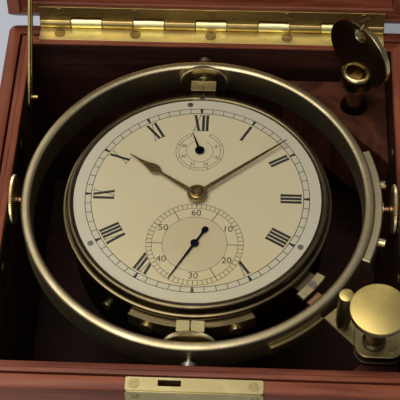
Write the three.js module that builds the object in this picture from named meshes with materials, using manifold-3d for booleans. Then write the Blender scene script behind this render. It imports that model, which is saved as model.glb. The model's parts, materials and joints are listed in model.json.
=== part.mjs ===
// Boxed marine chronometer: a mahogany case, a gimbal ring, a bowl with its movement, and the fittings.
// Units are millimetres. X runs to the right, Y to the back, Z up. The origin is the middle of the box's
// bottom face. The lid stands open; hands are set to 10 h 8 min 35 s.
import * as THREE from 'three';
import { mergeVertices } from 'three/addons/utils/BufferGeometryUtils.js';
import Module from 'manifold-3d';

// ---------- driving dimensions ----------
const boxSide = 191;
const wall = 11.9;
const baseHeight = 118;
const floorThickness = 10;
const cornerRadius = 4;
const lipWidth = 5;
const grooveWidth = 1;
const grooveDepth = 4;
const lidHeight = 65;
const lidTop = 9;
const lidGap = 1;
const lidOpenAngle = 100;
const hingeRadius = 2.6;
const hingeLength = 161;
const knuckleCount = 11;
const pinRadius = 1.2;
const gimbalX = -2.3;
const gimbalY = -1.3;
const gimbalDrop = 7;
const ringOuter = 75.9;
const ringInner = 71.7;
const ringHeight = 15;
const bowlOuter = 55.5;
const bezelOuter = 58.2;
const dialRadius = 53.3;
const nutRadius = 11;
const screwRadius = 2;
const gap = 0.3;
const stayRadius = 38.2;
const pegAngle = 198.3;
const lockAxisX = 73.6;
const lockAxisY = -68.5;
const lockAngle = -46.2;
const lockLength = 22.1;
const lockWidth = 12;
const keyX = 70.2;
const keyY = 70.3;
const keyRise = 3;
const keyAngle = -46.4;
const blockDrop = 22;
const minuteAngle = 51.5;
const hourAngle = 304.3;
const secondAngle = 210;
const reserveAngle = -21;

// ---------- derived dimensions ----------
const half = boxSide / 2;
const inner = half - wall;
const rim = baseHeight;
const hingeY = half - 0.5;
const hingeZ = rim + hingeRadius;
const pivotAngle = 169.7 - lidOpenAngle;
const wallLeft = -inner - gimbalX;
const wallRight = inner - gimbalX;

// ---------- materials ----------
function finish(color, roughness, metalness) {
  return new THREE.MeshStandardMaterial({ color, roughness, metalness });
}
const mahogany = finish(0x6b3320, 0.35, 0);
const brass = finish(0xc2a25a, 0.35, 1);
const darkBrass = finish(0x4a3f2c, 0.45, 1);
const steel = finish(0x9a9a98, 0.3, 1);
const silvered = finish(0xddd3b4, 0.5, 0.2);
const gilt = finish(0xc99a45, 0.3, 1);
const bluedSteel = finish(0x1c2748, 0.3, 1);
const glass = finish(0xf2f6f6, 0.05, 0);

// ---------- solid modelling helpers ----------
const wasm = await Module();
wasm.setup();

function solid(geometry) {
  const bare = geometry.clone();
  bare.deleteAttribute('normal');
  bare.deleteAttribute('uv');
  const merged = mergeVertices(bare, 1e-4);
  const shape = new wasm.Mesh({
    numProp: 3,
    vertProperties: new Float32Array(merged.attributes.position.array),
    triVerts: new Uint32Array(merged.index.array),
  });
  return new wasm.Manifold(shape);
}

function join(first, ...others) {
  return others.reduce((whole, part) => whole.add(part), first);
}

function cut(first, ...others) {
  return others.reduce((whole, part) => whole.subtract(part), first);
}

function piece(parent, name, shape, material) {
  const { numProp, vertProperties, triVerts } = shape.getMesh();
  const geometry = new THREE.BufferGeometry();
  const count = vertProperties.length / numProp;
  const positions = new Float32Array(count * 3);
  for (let i = 0; i < count; i += 1) {
    positions.set(vertProperties.subarray(i * numProp, i * numProp + 3), i * 3);
  }
  geometry.setAttribute('position', new THREE.BufferAttribute(positions, 3));
  geometry.setIndex(Array.from(triVerts));
  geometry.computeVertexNormals();
  const mesh = new THREE.Mesh(geometry, material);
  mesh.name = name;
  parent.add(mesh);
  return mesh;
}

// A block from one corner to the opposite one.
function block(x0, x1, y0, y1, z0, z1) {
  const geometry = new THREE.BoxGeometry(x1 - x0, y1 - y0, z1 - z0);
  geometry.translate((x0 + x1) / 2, (y0 + y1) / 2, (z0 + z1) / 2);
  return solid(geometry);
}

// An upright cylinder from z0 to z1.
function rod(radius, z0, z1, x = 0, y = 0, sides = 16, topRadius = radius) {
  const geometry = new THREE.CylinderGeometry(topRadius, radius, z1 - z0, sides);
  geometry.rotateX(Math.PI / 2);
  geometry.translate(x, y, (z0 + z1) / 2);
  return solid(geometry);
}

// A cylinder along X from x0 to x1.
function rodX(radius, x0, x1, y = 0, z = 0, sides = 16) {
  const geometry = new THREE.CylinderGeometry(radius, radius, x1 - x0, sides);
  geometry.rotateZ(Math.PI / 2);
  geometry.translate((x0 + x1) / 2, y, z);
  return solid(geometry);
}

// A cylinder along Y from y0 to y1.
function rodY(radius, y0, y1, x = 0, z = 0, sides = 16) {
  const geometry = new THREE.CylinderGeometry(radius, radius, y1 - y0, sides);
  geometry.translate(x, (y0 + y1) / 2, z);
  return solid(geometry);
}

// A turned shape about Z from [radius, height] points.
function turned(points, sides = 60) {
  const profile = points.map(([r, z]) => new THREE.Vector2(r, z));
  const geometry = new THREE.LatheGeometry(profile, sides);
  geometry.rotateX(Math.PI / 2);
  const shape = solid(geometry);
  return shape.volume() < 0 ? solid(flipped(geometry)) : shape;
}

function flipped(geometry) {
  const copy = geometry.clone();
  const index = copy.index.array;
  for (let i = 0; i < index.length; i += 3) {
    [index[i], index[i + 1]] = [index[i + 1], index[i]];
  }
  return copy;
}

// A turned ring with a rectangular section.
function tube(outer, innerRadius, z0, z1, sides = 60) {
  const profile = [[outer, z0], [outer, z1], [innerRadius, z1], [innerRadius, z0], [outer, z0]];
  return turned(profile, sides);
}

// A slab with a drawn outline, from z0 up to z1.
function slab(outline, z0, z1, curveSegments = 4) {
  const geometry = new THREE.ExtrudeGeometry(outline, {
    depth: z1 - z0,
    bevelEnabled: false,
    curveSegments,
  });
  geometry.translate(0, 0, z0);
  return solid(geometry);
}

function polygon(points) {
  return new THREE.Shape(points.map(([x, y]) => new THREE.Vector2(x, y)));
}

// A rectangle with rounded corners, centred on x, y.
function roundedRectangle(width, depth, radius, x = 0, y = 0) {
  const w = width / 2 - radius;
  const d = depth / 2 - radius;
  const shape = new THREE.Shape();
  shape.absarc(x + w, y + d, radius, 0, Math.PI / 2);
  shape.absarc(x - w, y + d, radius, Math.PI / 2, Math.PI);
  shape.absarc(x - w, y - d, radius, Math.PI, 1.5 * Math.PI);
  shape.absarc(x + w, y - d, radius, 1.5 * Math.PI, 2 * Math.PI);
  shape.closePath();
  return shape;
}

// A curved plate that follows a circle about Z, between two angles in degrees.
function sector(innerRadius, outer, fromAngle, toAngle, z0, z1) {
  const from = THREE.MathUtils.degToRad(fromAngle);
  const to = THREE.MathUtils.degToRad(toAngle);
  const shape = new THREE.Shape();
  shape.absarc(0, 0, outer, from, to, false);
  shape.absarc(0, 0, innerRadius, to, from, true);
  shape.closePath();
  return slab(shape, z0, z1, 10);
}

// A wheel outline with pointed teeth; the first tooth points along X.
function toothed(teeth, tipRadius, rootRadius) {
  const points = [];
  const step = Math.PI / teeth;
  for (let i = 0; i < teeth; i += 1) {
    const angle = 2 * i * step;
    points.push([tipRadius * Math.cos(angle), tipRadius * Math.sin(angle)]);
    points.push([rootRadius * Math.cos(angle + step), rootRadius * Math.sin(angle + step)]);
  }
  return polygon(points);
}

function gear(teeth, module, z0, z1) {
  const pitch = (teeth * module) / 2;
  return slab(toothed(teeth, pitch + 0.62 * module, pitch - 1.3 * module), z0, z1);
}

function group(parent, x, y, z) {
  const nested = new THREE.Group();
  nested.position.set(x, y, z);
  parent.add(nested);
  return nested;
}

const chronometer = new THREE.Group();
const gimbal = group(chronometer, gimbalX, gimbalY, rim - gimbalDrop);

// ---------- the box ----------
function boxBase() {
  let base = slab(roundedRectangle(boxSide, boxSide, cornerRadius), 0, rim);
  const cavity = block(-inner, inner, -inner, inner, floorThickness, rim + 1);
  const grooveIn = inner + lipWidth;
  const grooveOut = grooveIn + grooveWidth;
  const grooveFloor = rim - grooveDepth;
  const backEdge = inner - 1;
  const groove = cut(
    block(-grooveOut, grooveOut, -grooveOut, backEdge, grooveFloor, rim + 2),
    block(-grooveIn, grooveIn, -grooveIn, backEdge + 1, grooveFloor - 1, rim + 3),
  );
  const mortiseX = hingeLength / 2 + gap;
  const mortise = block(-mortiseX, mortiseX, inner + 2, half + 1, rim - 1.3, rim + 1);
  const lockRoom = block(-23, 23, -94.1, -88.5, rim - 29, rim + 1);
  const plateRoom = block(-27.1, 28.3, -97, -89.2, rim - 1.6, rim + 1);
  const keyhole = rodY(2.2, -half - 1, -90, 0, rim - 18);
  base = cut(base, cavity, groove, mortise, lockRoom, plateRoom, keyhole);
  for (const side of [wallLeft, wallRight]) {
    const depth = side < 0 ? [side - 2.1, side + 1] : [side - 1, side + 2.1];
    const recess = block(...depth, -38.3, 38.3, -12.3, 5.3).translate(gimbal.position.toArray());
    const screwHole = rodX(2.6, side - 6, side + 6).translate(gimbal.position.toArray());
    base = cut(base, recess, screwHole);
  }
  const pegHole = rodX(1.6, -inner - 4, -inner + 1, ...stayPoint(pegAngle));
  return cut(base, pegHole);
}

// A point on the circle of the two stay pivots, about the hinge line.
function stayPoint(angle) {
  const a = THREE.MathUtils.degToRad(angle);
  return [hingeY + stayRadius * Math.cos(a), hingeZ + stayRadius * Math.sin(a)];
}

function cornerWedge(x, y, legX, legY, z0, z1) {
  return slab(polygon(Math.sign(legX) * Math.sign(legY) > 0
    ? [[x, y], [x + legX, y], [x, y + legY]]
    : [[x, y], [x, y + legY], [x + legX, y]]), z0, z1);
}

piece(chronometer, 'box_base', boxBase(), mahogany);

const wedgeGap = inner - gap;
const keyBlock = cut(
  cornerWedge(wedgeGap, wedgeGap, -48, -48, rim - 62, rim - blockDrop),
  rod(6.2, rim - 36.2, rim, keyX + gimbalX, keyY + gimbalY),
);
piece(chronometer, 'key_block', keyBlock, mahogany);
const lockBlock = cornerWedge(wedgeGap, -wedgeGap, -30, 30, rim - 58, rim - blockDrop);
piece(chronometer, 'lock_block', lockBlock, mahogany);

// ---------- hinge between base and lid ----------
const knuckleLength = hingeLength / knuckleCount;

// Every second knuckle, as tubes or as the clearance that the other leaf keeps to them.
function knuckles(first, radius, spare) {
  const parts = [];
  for (let i = first; i < knuckleCount; i += 2) {
    const x0 = -hingeLength / 2 + i * knuckleLength + spare;
    parts.push(rodX(radius, x0, x0 + knuckleLength - 2 * spare, hingeY, hingeZ, 14));
  }
  return parts;
}

function hingeLeaf(first, y0, y1, z0, z1) {
  const plate = block(-hingeLength / 2, hingeLength / 2, y0, y1, z0, z1);
  const bare = cut(plate, ...knuckles(1 - first, hingeRadius + gap, -gap));
  const bore = rodX(pinRadius + 0.15, -hingeLength, hingeLength, hingeY, hingeZ, 10);
  return cut(join(bare, ...knuckles(first, hingeRadius, gap / 2)), bore);
}

piece(chronometer, 'hinge_leaf_base', hingeLeaf(1, inner + 2.3, half - 0.7, rim - 1, rim + 0.4), brass);
const hingePin = rodX(pinRadius, -hingeLength / 2 + 1, hingeLength / 2 - 1, hingeY, hingeZ, 10);
piece(chronometer, 'hinge_pin', hingePin, brass);

// ---------- the lid, modelled shut and then turned back about the hinge line ----------
const lidPivot = group(chronometer, 0, hingeY, hingeZ);
lidPivot.rotation.x = THREE.MathUtils.degToRad(-lidOpenAngle);
const lidGroup = group(lidPivot, 0, -hingeY, -hingeZ);
const lidRim = rim + lidGap;
const lidFloor = lidRim + lidHeight - lidTop;
const chamfer = 6.4;

function lid() {
  const shell = slab(roundedRectangle(boxSide, boxSide, cornerRadius), lidRim, lidRim + lidHeight);
  const cavity = block(-inner, inner, -inner, inner, lidRim - 1, lidFloor);
  const lipRoom = inner + lipWidth + 0.7;
  const rebate = block(-lipRoom, lipRoom, -lipRoom, inner - 1, lidRim - 1, lidRim + 1);
  const mortiseX = hingeLength / 2 + gap;
  const mortise = block(-mortiseX, mortiseX, inner + 1.4, half + 1, lidRim - 1, lidRim + 1.7);
  const wedge = polygon([[half - chamfer, 0], [half + 1, 0], [half + 1, chamfer + 1]]);
  const edge = new THREE.ExtrudeGeometry(wedge, { depth: boxSide + 2, bevelEnabled: false });
  edge.rotateX(Math.PI / 2);
  edge.rotateZ(Math.PI / 2);
  edge.translate(-half - 1, 0, lidRim - 0.001);
  const catchRoom = block(-22.3, 22.3, -94.9, -89.1, lidRim - 1, lidRim + 1.6);
  const pivotHole = rodX(1.6, -inner - 4, -inner + 1, ...stayPoint(pivotAngle + lidOpenAngle));
  return cut(shell, cavity, rebate, mortise, solid(edge), catchRoom, pivotHole);
}

piece(lidGroup, 'lid', lid(), mahogany);
piece(lidGroup, 'hinge_leaf_lid', hingeLeaf(0, inner + 1.7, hingeY - 1.7, lidRim, lidRim + 1.4), brass);
const catchPlate = block(-22, 22, -94.6, -89.4, lidRim, lidRim + 1.3);
const catchHook = block(-12.9, -5.3, -92.9, -91.1, rim - 6.5, lidRim + 0.5);
const hookHole = block(-11.2, -7, -94, -90, rim - 4.8, rim - 2.2);
const lidCatch = join(catchPlate, cut(catchHook, hookHole));
piece(lidGroup, 'lid_catch', lidCatch, brass);

// ---------- the slotted stay that holds the lid open ----------
const stayX = -inner + 0.4;
const stayWidth = 8;
const peg = stayPoint(pegAngle);

function stayPin([y, z], end) {
  return rodX(1.3, -inner - 3.5, end, y, z, 16);
}

const lidPivotPoint = stayPoint(pivotAngle + lidOpenAngle);
const pivotHead = rodX(2.8, stayX + 1.5, stayX + 2.5, ...lidPivotPoint, 16);
piece(chronometer, 'stay_peg', stayPin(peg, stayX + 4.4), brass);
piece(lidGroup, 'stay_pivot', join(stayPin(lidPivotPoint, stayX + 2.2), pivotHead), brass);

function stay() {
  const halfChord = (angle) => stayRadius * 2 * Math.sin(THREE.MathUtils.degToRad(angle / 2));
  const shut = halfChord(pegAngle - pivotAngle - lidOpenAngle);
  const open = halfChord(pegAngle - pivotAngle);
  const outline = roundedRectangle(open + stayWidth + 2, stayWidth, stayWidth / 2 - 0.01, open / 2 + 1, 0);
  const slot = roundedRectangle(open - shut + 3.4, 3.4, 1.69, (open + shut) / 2, 0);
  outline.holes.push(slot);
  const hole = new THREE.Path();
  hole.absarc(0, 0, 1.6, 0, 2 * Math.PI, true);
  outline.holes.push(hole);
  return slab(outline, 0, 1.2);
}

// The stay's own frame starts at the lid's pivot and its long side points at the peg.
const pivotOpen = stayPoint(pivotAngle);
const stayGroup = group(chronometer, stayX, pivotOpen[0], pivotOpen[1]);
stayGroup.rotation.x = Math.atan2(peg[1] - pivotOpen[1], peg[0] - pivotOpen[0]);
const stayPlate = piece(stayGroup, 'lid_stay', stay(), brass);
stayPlate.rotation.set(0, Math.PI / 2, Math.PI / 2, 'YZX');

// ---------- box lock ----------
function lockCase() {
  const plate = slab(roundedRectangle(54.4, 6, 0.8, 0.6, -92.5), rim - 1.3, rim);
  const body = block(-22.5, 22.5, -93.8, -88.9, rim - 28, rim - 1.2);
  const slot = block(-13.6, -4.6, -93.3, -90.7, rim - 8, rim + 1);
  const boltRoom = block(-20, 12, -92.9, -90.9, rim - 5.2, rim - 1.9);
  const keyway = rodY(1.6, -95, -91.4, 0, rim - 18);
  return cut(join(plate, body), slot, boltRoom, keyway);
}
piece(chronometer, 'box_lock', lockCase(), brass);
piece(chronometer, 'lock_bolt', block(-3.9, 7, -92.5, -91.3, rim - 4.6, rim - 2.5), brass);

// ---------- side handles ----------
const handleZ = 82;
const handleSpan = 34;

function handlePlate(side) {
  const plate = block(0.3, 2, -handleSpan - 9, handleSpan + 9, -9, 9);
  const ears = [-1, 1].map((end) => cut(
    block(1.5, 9, end * handleSpan - 3, end * handleSpan + 3, -4.5, 4.5),
    rodY(1.9, end * handleSpan - 4, end * handleSpan + 4, 5.2, 0, 16),
  ));
  return place(join(plate, ...ears), side);
}

function place(shape, side) {
  const turnedShape = side < 0 ? shape.rotate([0, 0, 180]) : shape;
  return turnedShape.translate([side * half, 0, handleZ]);
}

function bail(side) {
  const reach = handleSpan - 5.8;
  const path = new THREE.CurvePath();
  const corner = (y, z) => new THREE.Vector3(5.2, y, z);
  const drop = -22;
  const bend = 8;
  const straight = (from, to) => path.add(new THREE.LineCurve3(from, to));
  const curved = (from, via, to) => path.add(new THREE.QuadraticBezierCurve3(from, via, to));
  const low = drop + bend;
  straight(corner(-reach, 1.6), corner(-reach, low));
  curved(corner(-reach, low), corner(-reach, drop), corner(-reach + bend, drop));
  straight(corner(-reach + bend, drop), corner(reach - bend, drop));
  curved(corner(reach - bend, drop), corner(reach, drop), corner(reach, low));
  straight(corner(reach, low), corner(reach, 1.6));
  const section = new THREE.Shape();
  section.absarc(0, 0, 2.4, 0, 2 * Math.PI);
  const rodGeometry = new THREE.ExtrudeGeometry(section, { steps: 24, extrudePath: path, curveSegments: 4 });
  const pins = [-1, 1].map((end) => (end < 0
    ? rodY(1.5, -handleSpan - 3.2, -reach, 5.2, 0, 14)
    : rodY(1.5, reach, handleSpan + 3.2, 5.2, 0, 14)));
  return place(join(solid(rodGeometry), ...pins), side);
}

for (const [side, word] of [[-1, 'left'], [1, 'right']]) {
  piece(chronometer, `handle_plate_${word}`, handlePlate(side), brass);
  piece(chronometer, `handle_${word}`, bail(side), brass);
}

// ---------- gimbal supports on the box walls ----------
function bracket(side) {
  const x = side < 0 ? [wallLeft - 1.8, wallLeft - 0.1] : [wallRight + 0.1, wallRight + 1.8];
  return cut(block(...x, -38, 38, -12, 5), rodX(screwRadius + 0.25, x[0] - 1, x[1] + 1, 0, 0, 12));
}

function lockNut() {
  return cut(rod(nutRadius, 0, 1.8, 0, 0, 32), rod(screwRadius + 0.25, -1, 3, 0, 0, 12));
}

function nutX(side) {
  const start = side < 0 ? wallLeft + 0.3 : wallRight - 2.1;
  return lockNut().rotate([0, 90, 0]).translate([start, 0, 0]);
}

function pivotScrewX(side) {
  const outerEnd = side < 0 ? wallLeft - 5 : wallRight + 5;
  const tip = side * (ringOuter - 2.4);
  return rodX(screwRadius, Math.min(outerEnd, tip), Math.max(outerEnd, tip), 0, 0, 12);
}

for (const [side, word] of [[-1, 'left'], [1, 'right']]) {
  piece(gimbal, `gimbal_bracket_${word}`, bracket(side), brass);
  piece(gimbal, `gimbal_nut_${word}`, nutX(side), brass);
  piece(gimbal, `gimbal_screw_${word}`, pivotScrewX(side), steel);
}

// ---------- gimbal ring ----------
function gimbalRing() {
  const ring = tube(ringOuter, ringInner, -ringHeight / 2, ringHeight / 2, 64);
  const hole = screwRadius + 0.25;
  const tipLeft = rodX(hole, -ringOuter - 1, -ringOuter + 3, 0, 0, 12);
  const tipRight = rodX(hole, ringOuter - 3, ringOuter + 1, 0, 0, 12);
  const throughFront = rodY(hole, -80, -60, 0, 0, 12);
  const throughBack = rodY(hole, 60, 80, 0, 0, 12);
  return cut(ring, tipLeft, tipRight, throughFront, throughBack);
}

function sidePlate() {
  const plate = sector(ringOuter + gap, ringOuter + 3.6, -23, 20.4, -6, 6);
  return cut(plate, rodX(screwRadius + 0.25, 70, 85, 0, 0, 12));
}

piece(gimbal, 'gimbal_ring', gimbalRing(), brass);
piece(gimbal, 'ring_side_plate', sidePlate(), brass);
piece(gimbal, 'ring_lock_strip', sector(ringOuter + gap, ringOuter + 1.7, -65, -45.5, -5, 0.4), brass);
piece(gimbal, 'ring_lock_pad', sector(67.3, ringInner - gap, -45.5, -39.6, -5.5, 0.8), brass);

function nutY(side) {
  const nut = lockNut().rotate([90, 0, 0]);
  const y = side < 0 ? -ringInner + 3.1 : ringInner - 1.3;
  return nut.translate([0, y, 0]);
}

function pivotScrewY(side) {
  const headStart = ringOuter + 3.1;
  const shank = rodY(screwRadius, 63, headStart + 1, 0, 0, 12);
  const head = rodY(3.7, headStart, headStart + 2.4, 0, 0, 20);
  const slot = block(-0.5, 0.5, headStart + 1.4, headStart + 5, -5, 5);
  const screw = cut(join(shank, head), slot);
  return side < 0 ? screw.rotate([0, 0, 180]) : screw;
}

for (const [side, word] of [[1, '12'], [-1, '6']]) {
  piece(gimbal, `bowl_nut_${word}`, nutY(side), brass);
  piece(gimbal, `bowl_screw_${word}`, pivotScrewY(side), steel);
}

// ---------- bowl ----------
const bowlWall = 2;
const windX = -19;
const windY = 17.8;

// The bowl's half section, for the outside or, with an inset, for the inside.
function bowlProfile(inset) {
  const r = bowlOuter - inset;
  const floor = -53 + inset;
  const points = [[0, floor], [28 - inset, floor]];
  for (let i = 1; i <= 4; i += 1) {
    const a = (i * Math.PI) / 8;
    points.push([28 - inset + (r - 28 + inset) * Math.sin(a), -30 - (-30 - floor) * Math.cos(a)]);
  }
  return points;
}

function bowl() {
  const collar = [[bowlOuter, -11], [56.8, -11], [56.8, 0], [0, 0]];
  const outside = turned([...bowlProfile(0), ...collar], 44);
  const inside = turned([...bowlProfile(bowlWall), [bowlOuter - bowlWall, 1], [0, 1]], 44);
  return cut(outside, inside, rod(4.5, -60, -40, windX, windY));
}

function carrier(side) {
  const plate = sector(57.1, 61.2, 90 - 25.5, 90 + 25.5, -9, -0.3);
  const boss = join(rodY(5.7, 60.6, 66.3, 0, 0, 32), block(-5.7, 5.7, 60.6, 66.3, 0, 4.8));
  const flat = block(-7, 7, 60, 67, 4.8, 7);
  const slit = block(-0.4, 0.4, 61.2, 67, 2, 6);
  const shape = cut(join(plate, boss), flat, slit, rodY(screwRadius + 0.25, 62, 70, 0, 0, 12));
  return side < 0 ? shape.rotate([0, 0, 180]) : shape;
}

function bezel() {
  return turned([
    [dialRadius + 0.3, 0.3], [bezelOuter, 0.3], [bezelOuter, 2.8], [56.5, 3.6], [56.5, 6.6],
    [dialRadius + 0.3, 6.6], [dialRadius + 0.3, 0.3],
  ], 60);
}

function crystal() {
  const outside = [];
  const inside = [];
  for (let i = 0; i <= 4; i += 1) {
    const share = i / 4;
    const height = 6 * Math.sin((share * Math.PI) / 2) ** 0.75;
    outside.push([55.4 * Math.cos((share * Math.PI) / 2), 7.7 + height]);
    inside.push([54.2 * Math.cos((share * Math.PI) / 2), 6.9 + height]);
  }
  const within = [[0, 12.9], ...inside.reverse().slice(1)];
  return turned([...within, [55.4, 6.9], ...outside.slice(0, 4), [0, 13.7]], 36);
}

piece(gimbal, 'bowl', bowl(), darkBrass);
piece(gimbal, 'bowl_carrier_12', carrier(1), brass);
piece(gimbal, 'bowl_carrier_6', carrier(-1), brass);
piece(gimbal, 'bowl_lock_lug', sector(57.1, 65.2, -45, -32, -3, -0.6), brass);
piece(gimbal, 'bezel', bezel(), darkBrass);
piece(gimbal, 'crystal', crystal(), glass);
const coverArm = slab(roundedRectangle(30, 12, 5.9, -9, 0), 0, 1.4);
const coverShape = coverArm.translate([windX + 9, windY, -54.9]);
piece(gimbal, 'winding_cover', coverShape, brass);

// ---------- dial and hands ----------
const dialTop = 6.1;
const secondsY = -24.5;
const reserveY = 24.5;

const dial = cut(
  rod(dialRadius, dialTop - 1.2, dialTop, 0, 0, 60),
  rod(2.8, 0, 10),
  rod(1.2, 0, 10, 0, secondsY, 16),
  rod(1.2, 0, 10, 0, reserveY, 16),
);
piece(gimbal, 'dial', dial, silvered);

// A hand outline points along +Y from its hub: width at each distance from the hub.
function handOutline(stations) {
  const right = stations.map(([y, w]) => [w / 2, y]);
  const left = [...stations].reverse().map(([y, w]) => [-w / 2, y]);
  return polygon([...right, ...left]);
}

function hand(stations, hub, z0, z1, angle, x, y) {
  const shape = join(slab(handOutline(stations), z0, z1), rod(hub, z0, z1));
  return shape.rotate([0, 0, -angle]).translate([x, y, 0]);
}

const pearHand = [[-2, 3], [6, 2], [17, 1.3], [20, 1.6], [24, 4.4], [27, 4.6], [30, 1.8], [37, 0.4]];
const hourHand = cut(
  join(hand(pearHand, 4, 7.5, 8, hourAngle, 0, 0), rod(2.4, 4, 7.8)),
  rod(1.5, 0, 12),
);
const longHand = [[-3, 2.2], [10, 1.9], [30, 1.5], [48.8, 0.35]];
const minuteCap = rod(2.6, 8.7, 10.2, 0, 0, 16, 1.9);
const minuteHand = join(hand(longHand, 4.4, 8.5, 8.9, minuteAngle, 0, 0), minuteCap);
const slimHand = [[-9.5, 2.2], [-8.5, 2.8], [-5.6, 0.9], [0, 1.1], [20.3, 0.25]];
const secondHand = hand(slimHand, 1.8, 6.8, 7.1, secondAngle, 0, secondsY);
const shortHand = [[-6, 2.4], [-1.5, 1], [4, 1.9], [10.6, 0.3]];
const reserveHand = join(
  hand(shortHand, 1.9, 6.8, 7.1, reserveAngle, 0, reserveY),
  rod(0.9, 4, 7, 0, reserveY, 16),
);
piece(gimbal, 'hour_hand', hourHand, gilt);
piece(gimbal, 'minute_hand', join(minuteHand, rod(1.1, 3.8, 8.7)), gilt);
piece(gimbal, 'second_hand', join(secondHand, rod(0.8, 3.8, 7, 0, secondsY, 12)), bluedSteel);
piece(gimbal, 'reserve_hand', reserveHand, bluedSteel);

// ---------- movement ----------
const thirdX = 14.13;
const thirdY = -13.87;
const escapeX = -15.2;
const escapeY = -31.1;
const balanceX = -22;
const balanceY = -21.3;
const barrelX = 22;
const barrelY = 22;
const frontPlateZ = 1;
const backPlateZ = -21.5;

function frontPlate() {
  const plate = rod(50, frontPlateZ, frontPlateZ + 2.3, 0, 0, 48);
  const pillars = [5, 90, 175, 225, 300].map((angle) => {
    const a = THREE.MathUtils.degToRad(angle);
    return rod(2.6, backPlateZ + gap, frontPlateZ + 1, 43.5 * Math.cos(a), 43.5 * Math.sin(a), 12);
  });
  return cut(join(plate, ...pillars), rod(1.6, -2, 6), rod(1.2, -2, 6, 0, secondsY, 12));
}

function backPlate() {
  const plate = rod(46.5, backPlateZ - 2.4, backPlateZ, 0, 0, 48);
  const cock = join(
    block(balanceX - 4, balanceX + 4, balanceY - 3, balanceY + 24, -43, -41),
    block(balanceX - 4, balanceX + 4, balanceY + 19, balanceY + 24, -42, backPlateZ - 1),
  );
  const poiseWeight = sector(14, 45.5, 180, 330, backPlateZ - 6.9, backPlateZ - 2);
  return cut(
    join(plate, cock, poiseWeight),
    rod(2.6, -30, -20, windX, windY),
    rod(1.1, -45, -20, balanceX, balanceY, 16),
  );
}

function fusee() {
  const greatWheel = gear(48, 0.93, -19.5, -17.7);
  const cone = rod(14, -17.8, -6, 0, 0, 32, 8);
  const square = block(-1.5, 1.5, -1.5, 1.5, -47, -20);
  const arbor = rod(2.2, -20.5, 0.6, 0, 0, 16);
  return join(greatWheel, cone, square, arbor).translate([windX, windY, 0]);
}

function centreWheel() {
  const wheel = gear(48, 0.7333, -3, -1.8);
  const pinion = gear(8, 0.93, -20, -17.2).rotate([0, 0, centrePhase]);
  return join(wheel, pinion, rod(1.1, -20.8, 3.5, 0, 0, 16));
}

function arborWheel(wheel, pinion, x, y, bottom, top) {
  return join(wheel, pinion, rod(0.8, bottom, top, 0, 0, 12)).translate([x, y, 0]);
}

// Turns a driven pinion so that a gap faces a tooth of the wheel that drives it.
function meshPhase(wheelTeeth, wheelTurn, pinionTeeth, dx, dy) {
  const line = THREE.MathUtils.radToDeg(Math.atan2(dy, dx));
  const wheelPitch = 360 / wheelTeeth;
  const offset = (line - wheelTurn) / wheelPitch;
  const share = offset - Math.round(offset);
  return line + 180 + (0.5 + share) * (360 / pinionTeeth);
}

const centrePhase = meshPhase(48, 0, 8, -windX, -windY);
const thirdPhase = meshPhase(48, 0, 6, thirdX, thirdY);
const fourthPhase = meshPhase(45, thirdPhase, 6, -thirdX, secondsY - thirdY);
const escapePhase = meshPhase(48, fourthPhase, 6, escapeX, escapeY - secondsY);

piece(gimbal, 'front_plate', frontPlate(), brass);
piece(gimbal, 'back_plate', backPlate(), brass);
piece(gimbal, 'mainspring_barrel', join(
  rod(16.2, -19, -5, barrelX, barrelY, 40),
  rod(1.5, -21, 0.6, barrelX, barrelY, 12),
), brass);
piece(gimbal, 'fusee', fusee(), brass);
piece(gimbal, 'centre_wheel', centreWheel(), brass);
const thirdWheel = gear(45, 0.6934, -8, -6.8).rotate([0, 0, thirdPhase]);
const thirdPinion = gear(6, 0.7333, -4.4, -0.6).rotate([0, 0, thirdPhase]);
piece(gimbal, 'third_wheel', arborWheel(thirdWheel, thirdPinion, thirdX, thirdY, -21, 0.6), brass);
const fourthWheel = gear(48, 0.6137, -13, -11.8).rotate([0, 0, fourthPhase]);
const fourthPinion = gear(6, 0.6934, -9.2, -5.6).rotate([0, 0, fourthPhase]);
piece(gimbal, 'fourth_wheel', arborWheel(fourthWheel, fourthPinion, 0, secondsY, -21, 3.5), brass);
const escapeWheel = slab(toothed(15, 7.8, 6), -18.2, -17.2);
const escapePinion = gear(6, 0.6137, -14.2, -10.6).rotate([0, 0, escapePhase]);
piece(gimbal, 'escape_wheel', arborWheel(escapeWheel, escapePinion, escapeX, escapeY, -21, 0.6), brass);

function balance() {
  const arm = block(-13.8, 13.8, -1.4, 1.4, -32, -30.8);
  const weights = [40, 140, 220, 320].map((a) => rod(1.8, -34, -29.4, 15.5, 0, 10).rotate([0, 0, a]));
  const whole = join(tube(15.5, 13.6, -33, -30, 36), arm, ...weights, rod(0.8, -44, -23.2, 0, 0, 12));
  return whole.rotate([0, 0, 30]).translate([balanceX, balanceY, 0]);
}
piece(gimbal, 'balance_wheel', balance(), brass);

function helicalSpring() {
  const turns = 4;
  const points = [];
  for (let i = 0; i <= turns * 12; i += 1) {
    const a = (i * Math.PI) / 6;
    points.push(new THREE.Vector3(5 * Math.cos(a), 5 * Math.sin(a), -34.5 - (i * 5.5) / (turns * 12)));
  }
  const section = polygon([[-0.3, -0.3], [0.3, -0.3], [0.3, 0.3], [-0.3, 0.3]]);
  const extrudePath = new THREE.CatmullRomCurve3(points);
  const geometry = new THREE.ExtrudeGeometry(section, { steps: turns * 12, extrudePath });
  return solid(geometry).translate([balanceX, balanceY, 0]);
}
piece(gimbal, 'balance_spring', helicalSpring(), bluedSteel);
const detent = join(block(-26, -8, -42.4, -41.6, -18.4, -17), block(-26, -22, -44, -40, -21.2, -16));
piece(gimbal, 'detent', detent, steel);

// ---------- gimbal lock in the front right corner ----------
const lockGroup = group(chronometer, gimbalX + lockAxisX, gimbalY + lockAxisY, rim);

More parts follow.
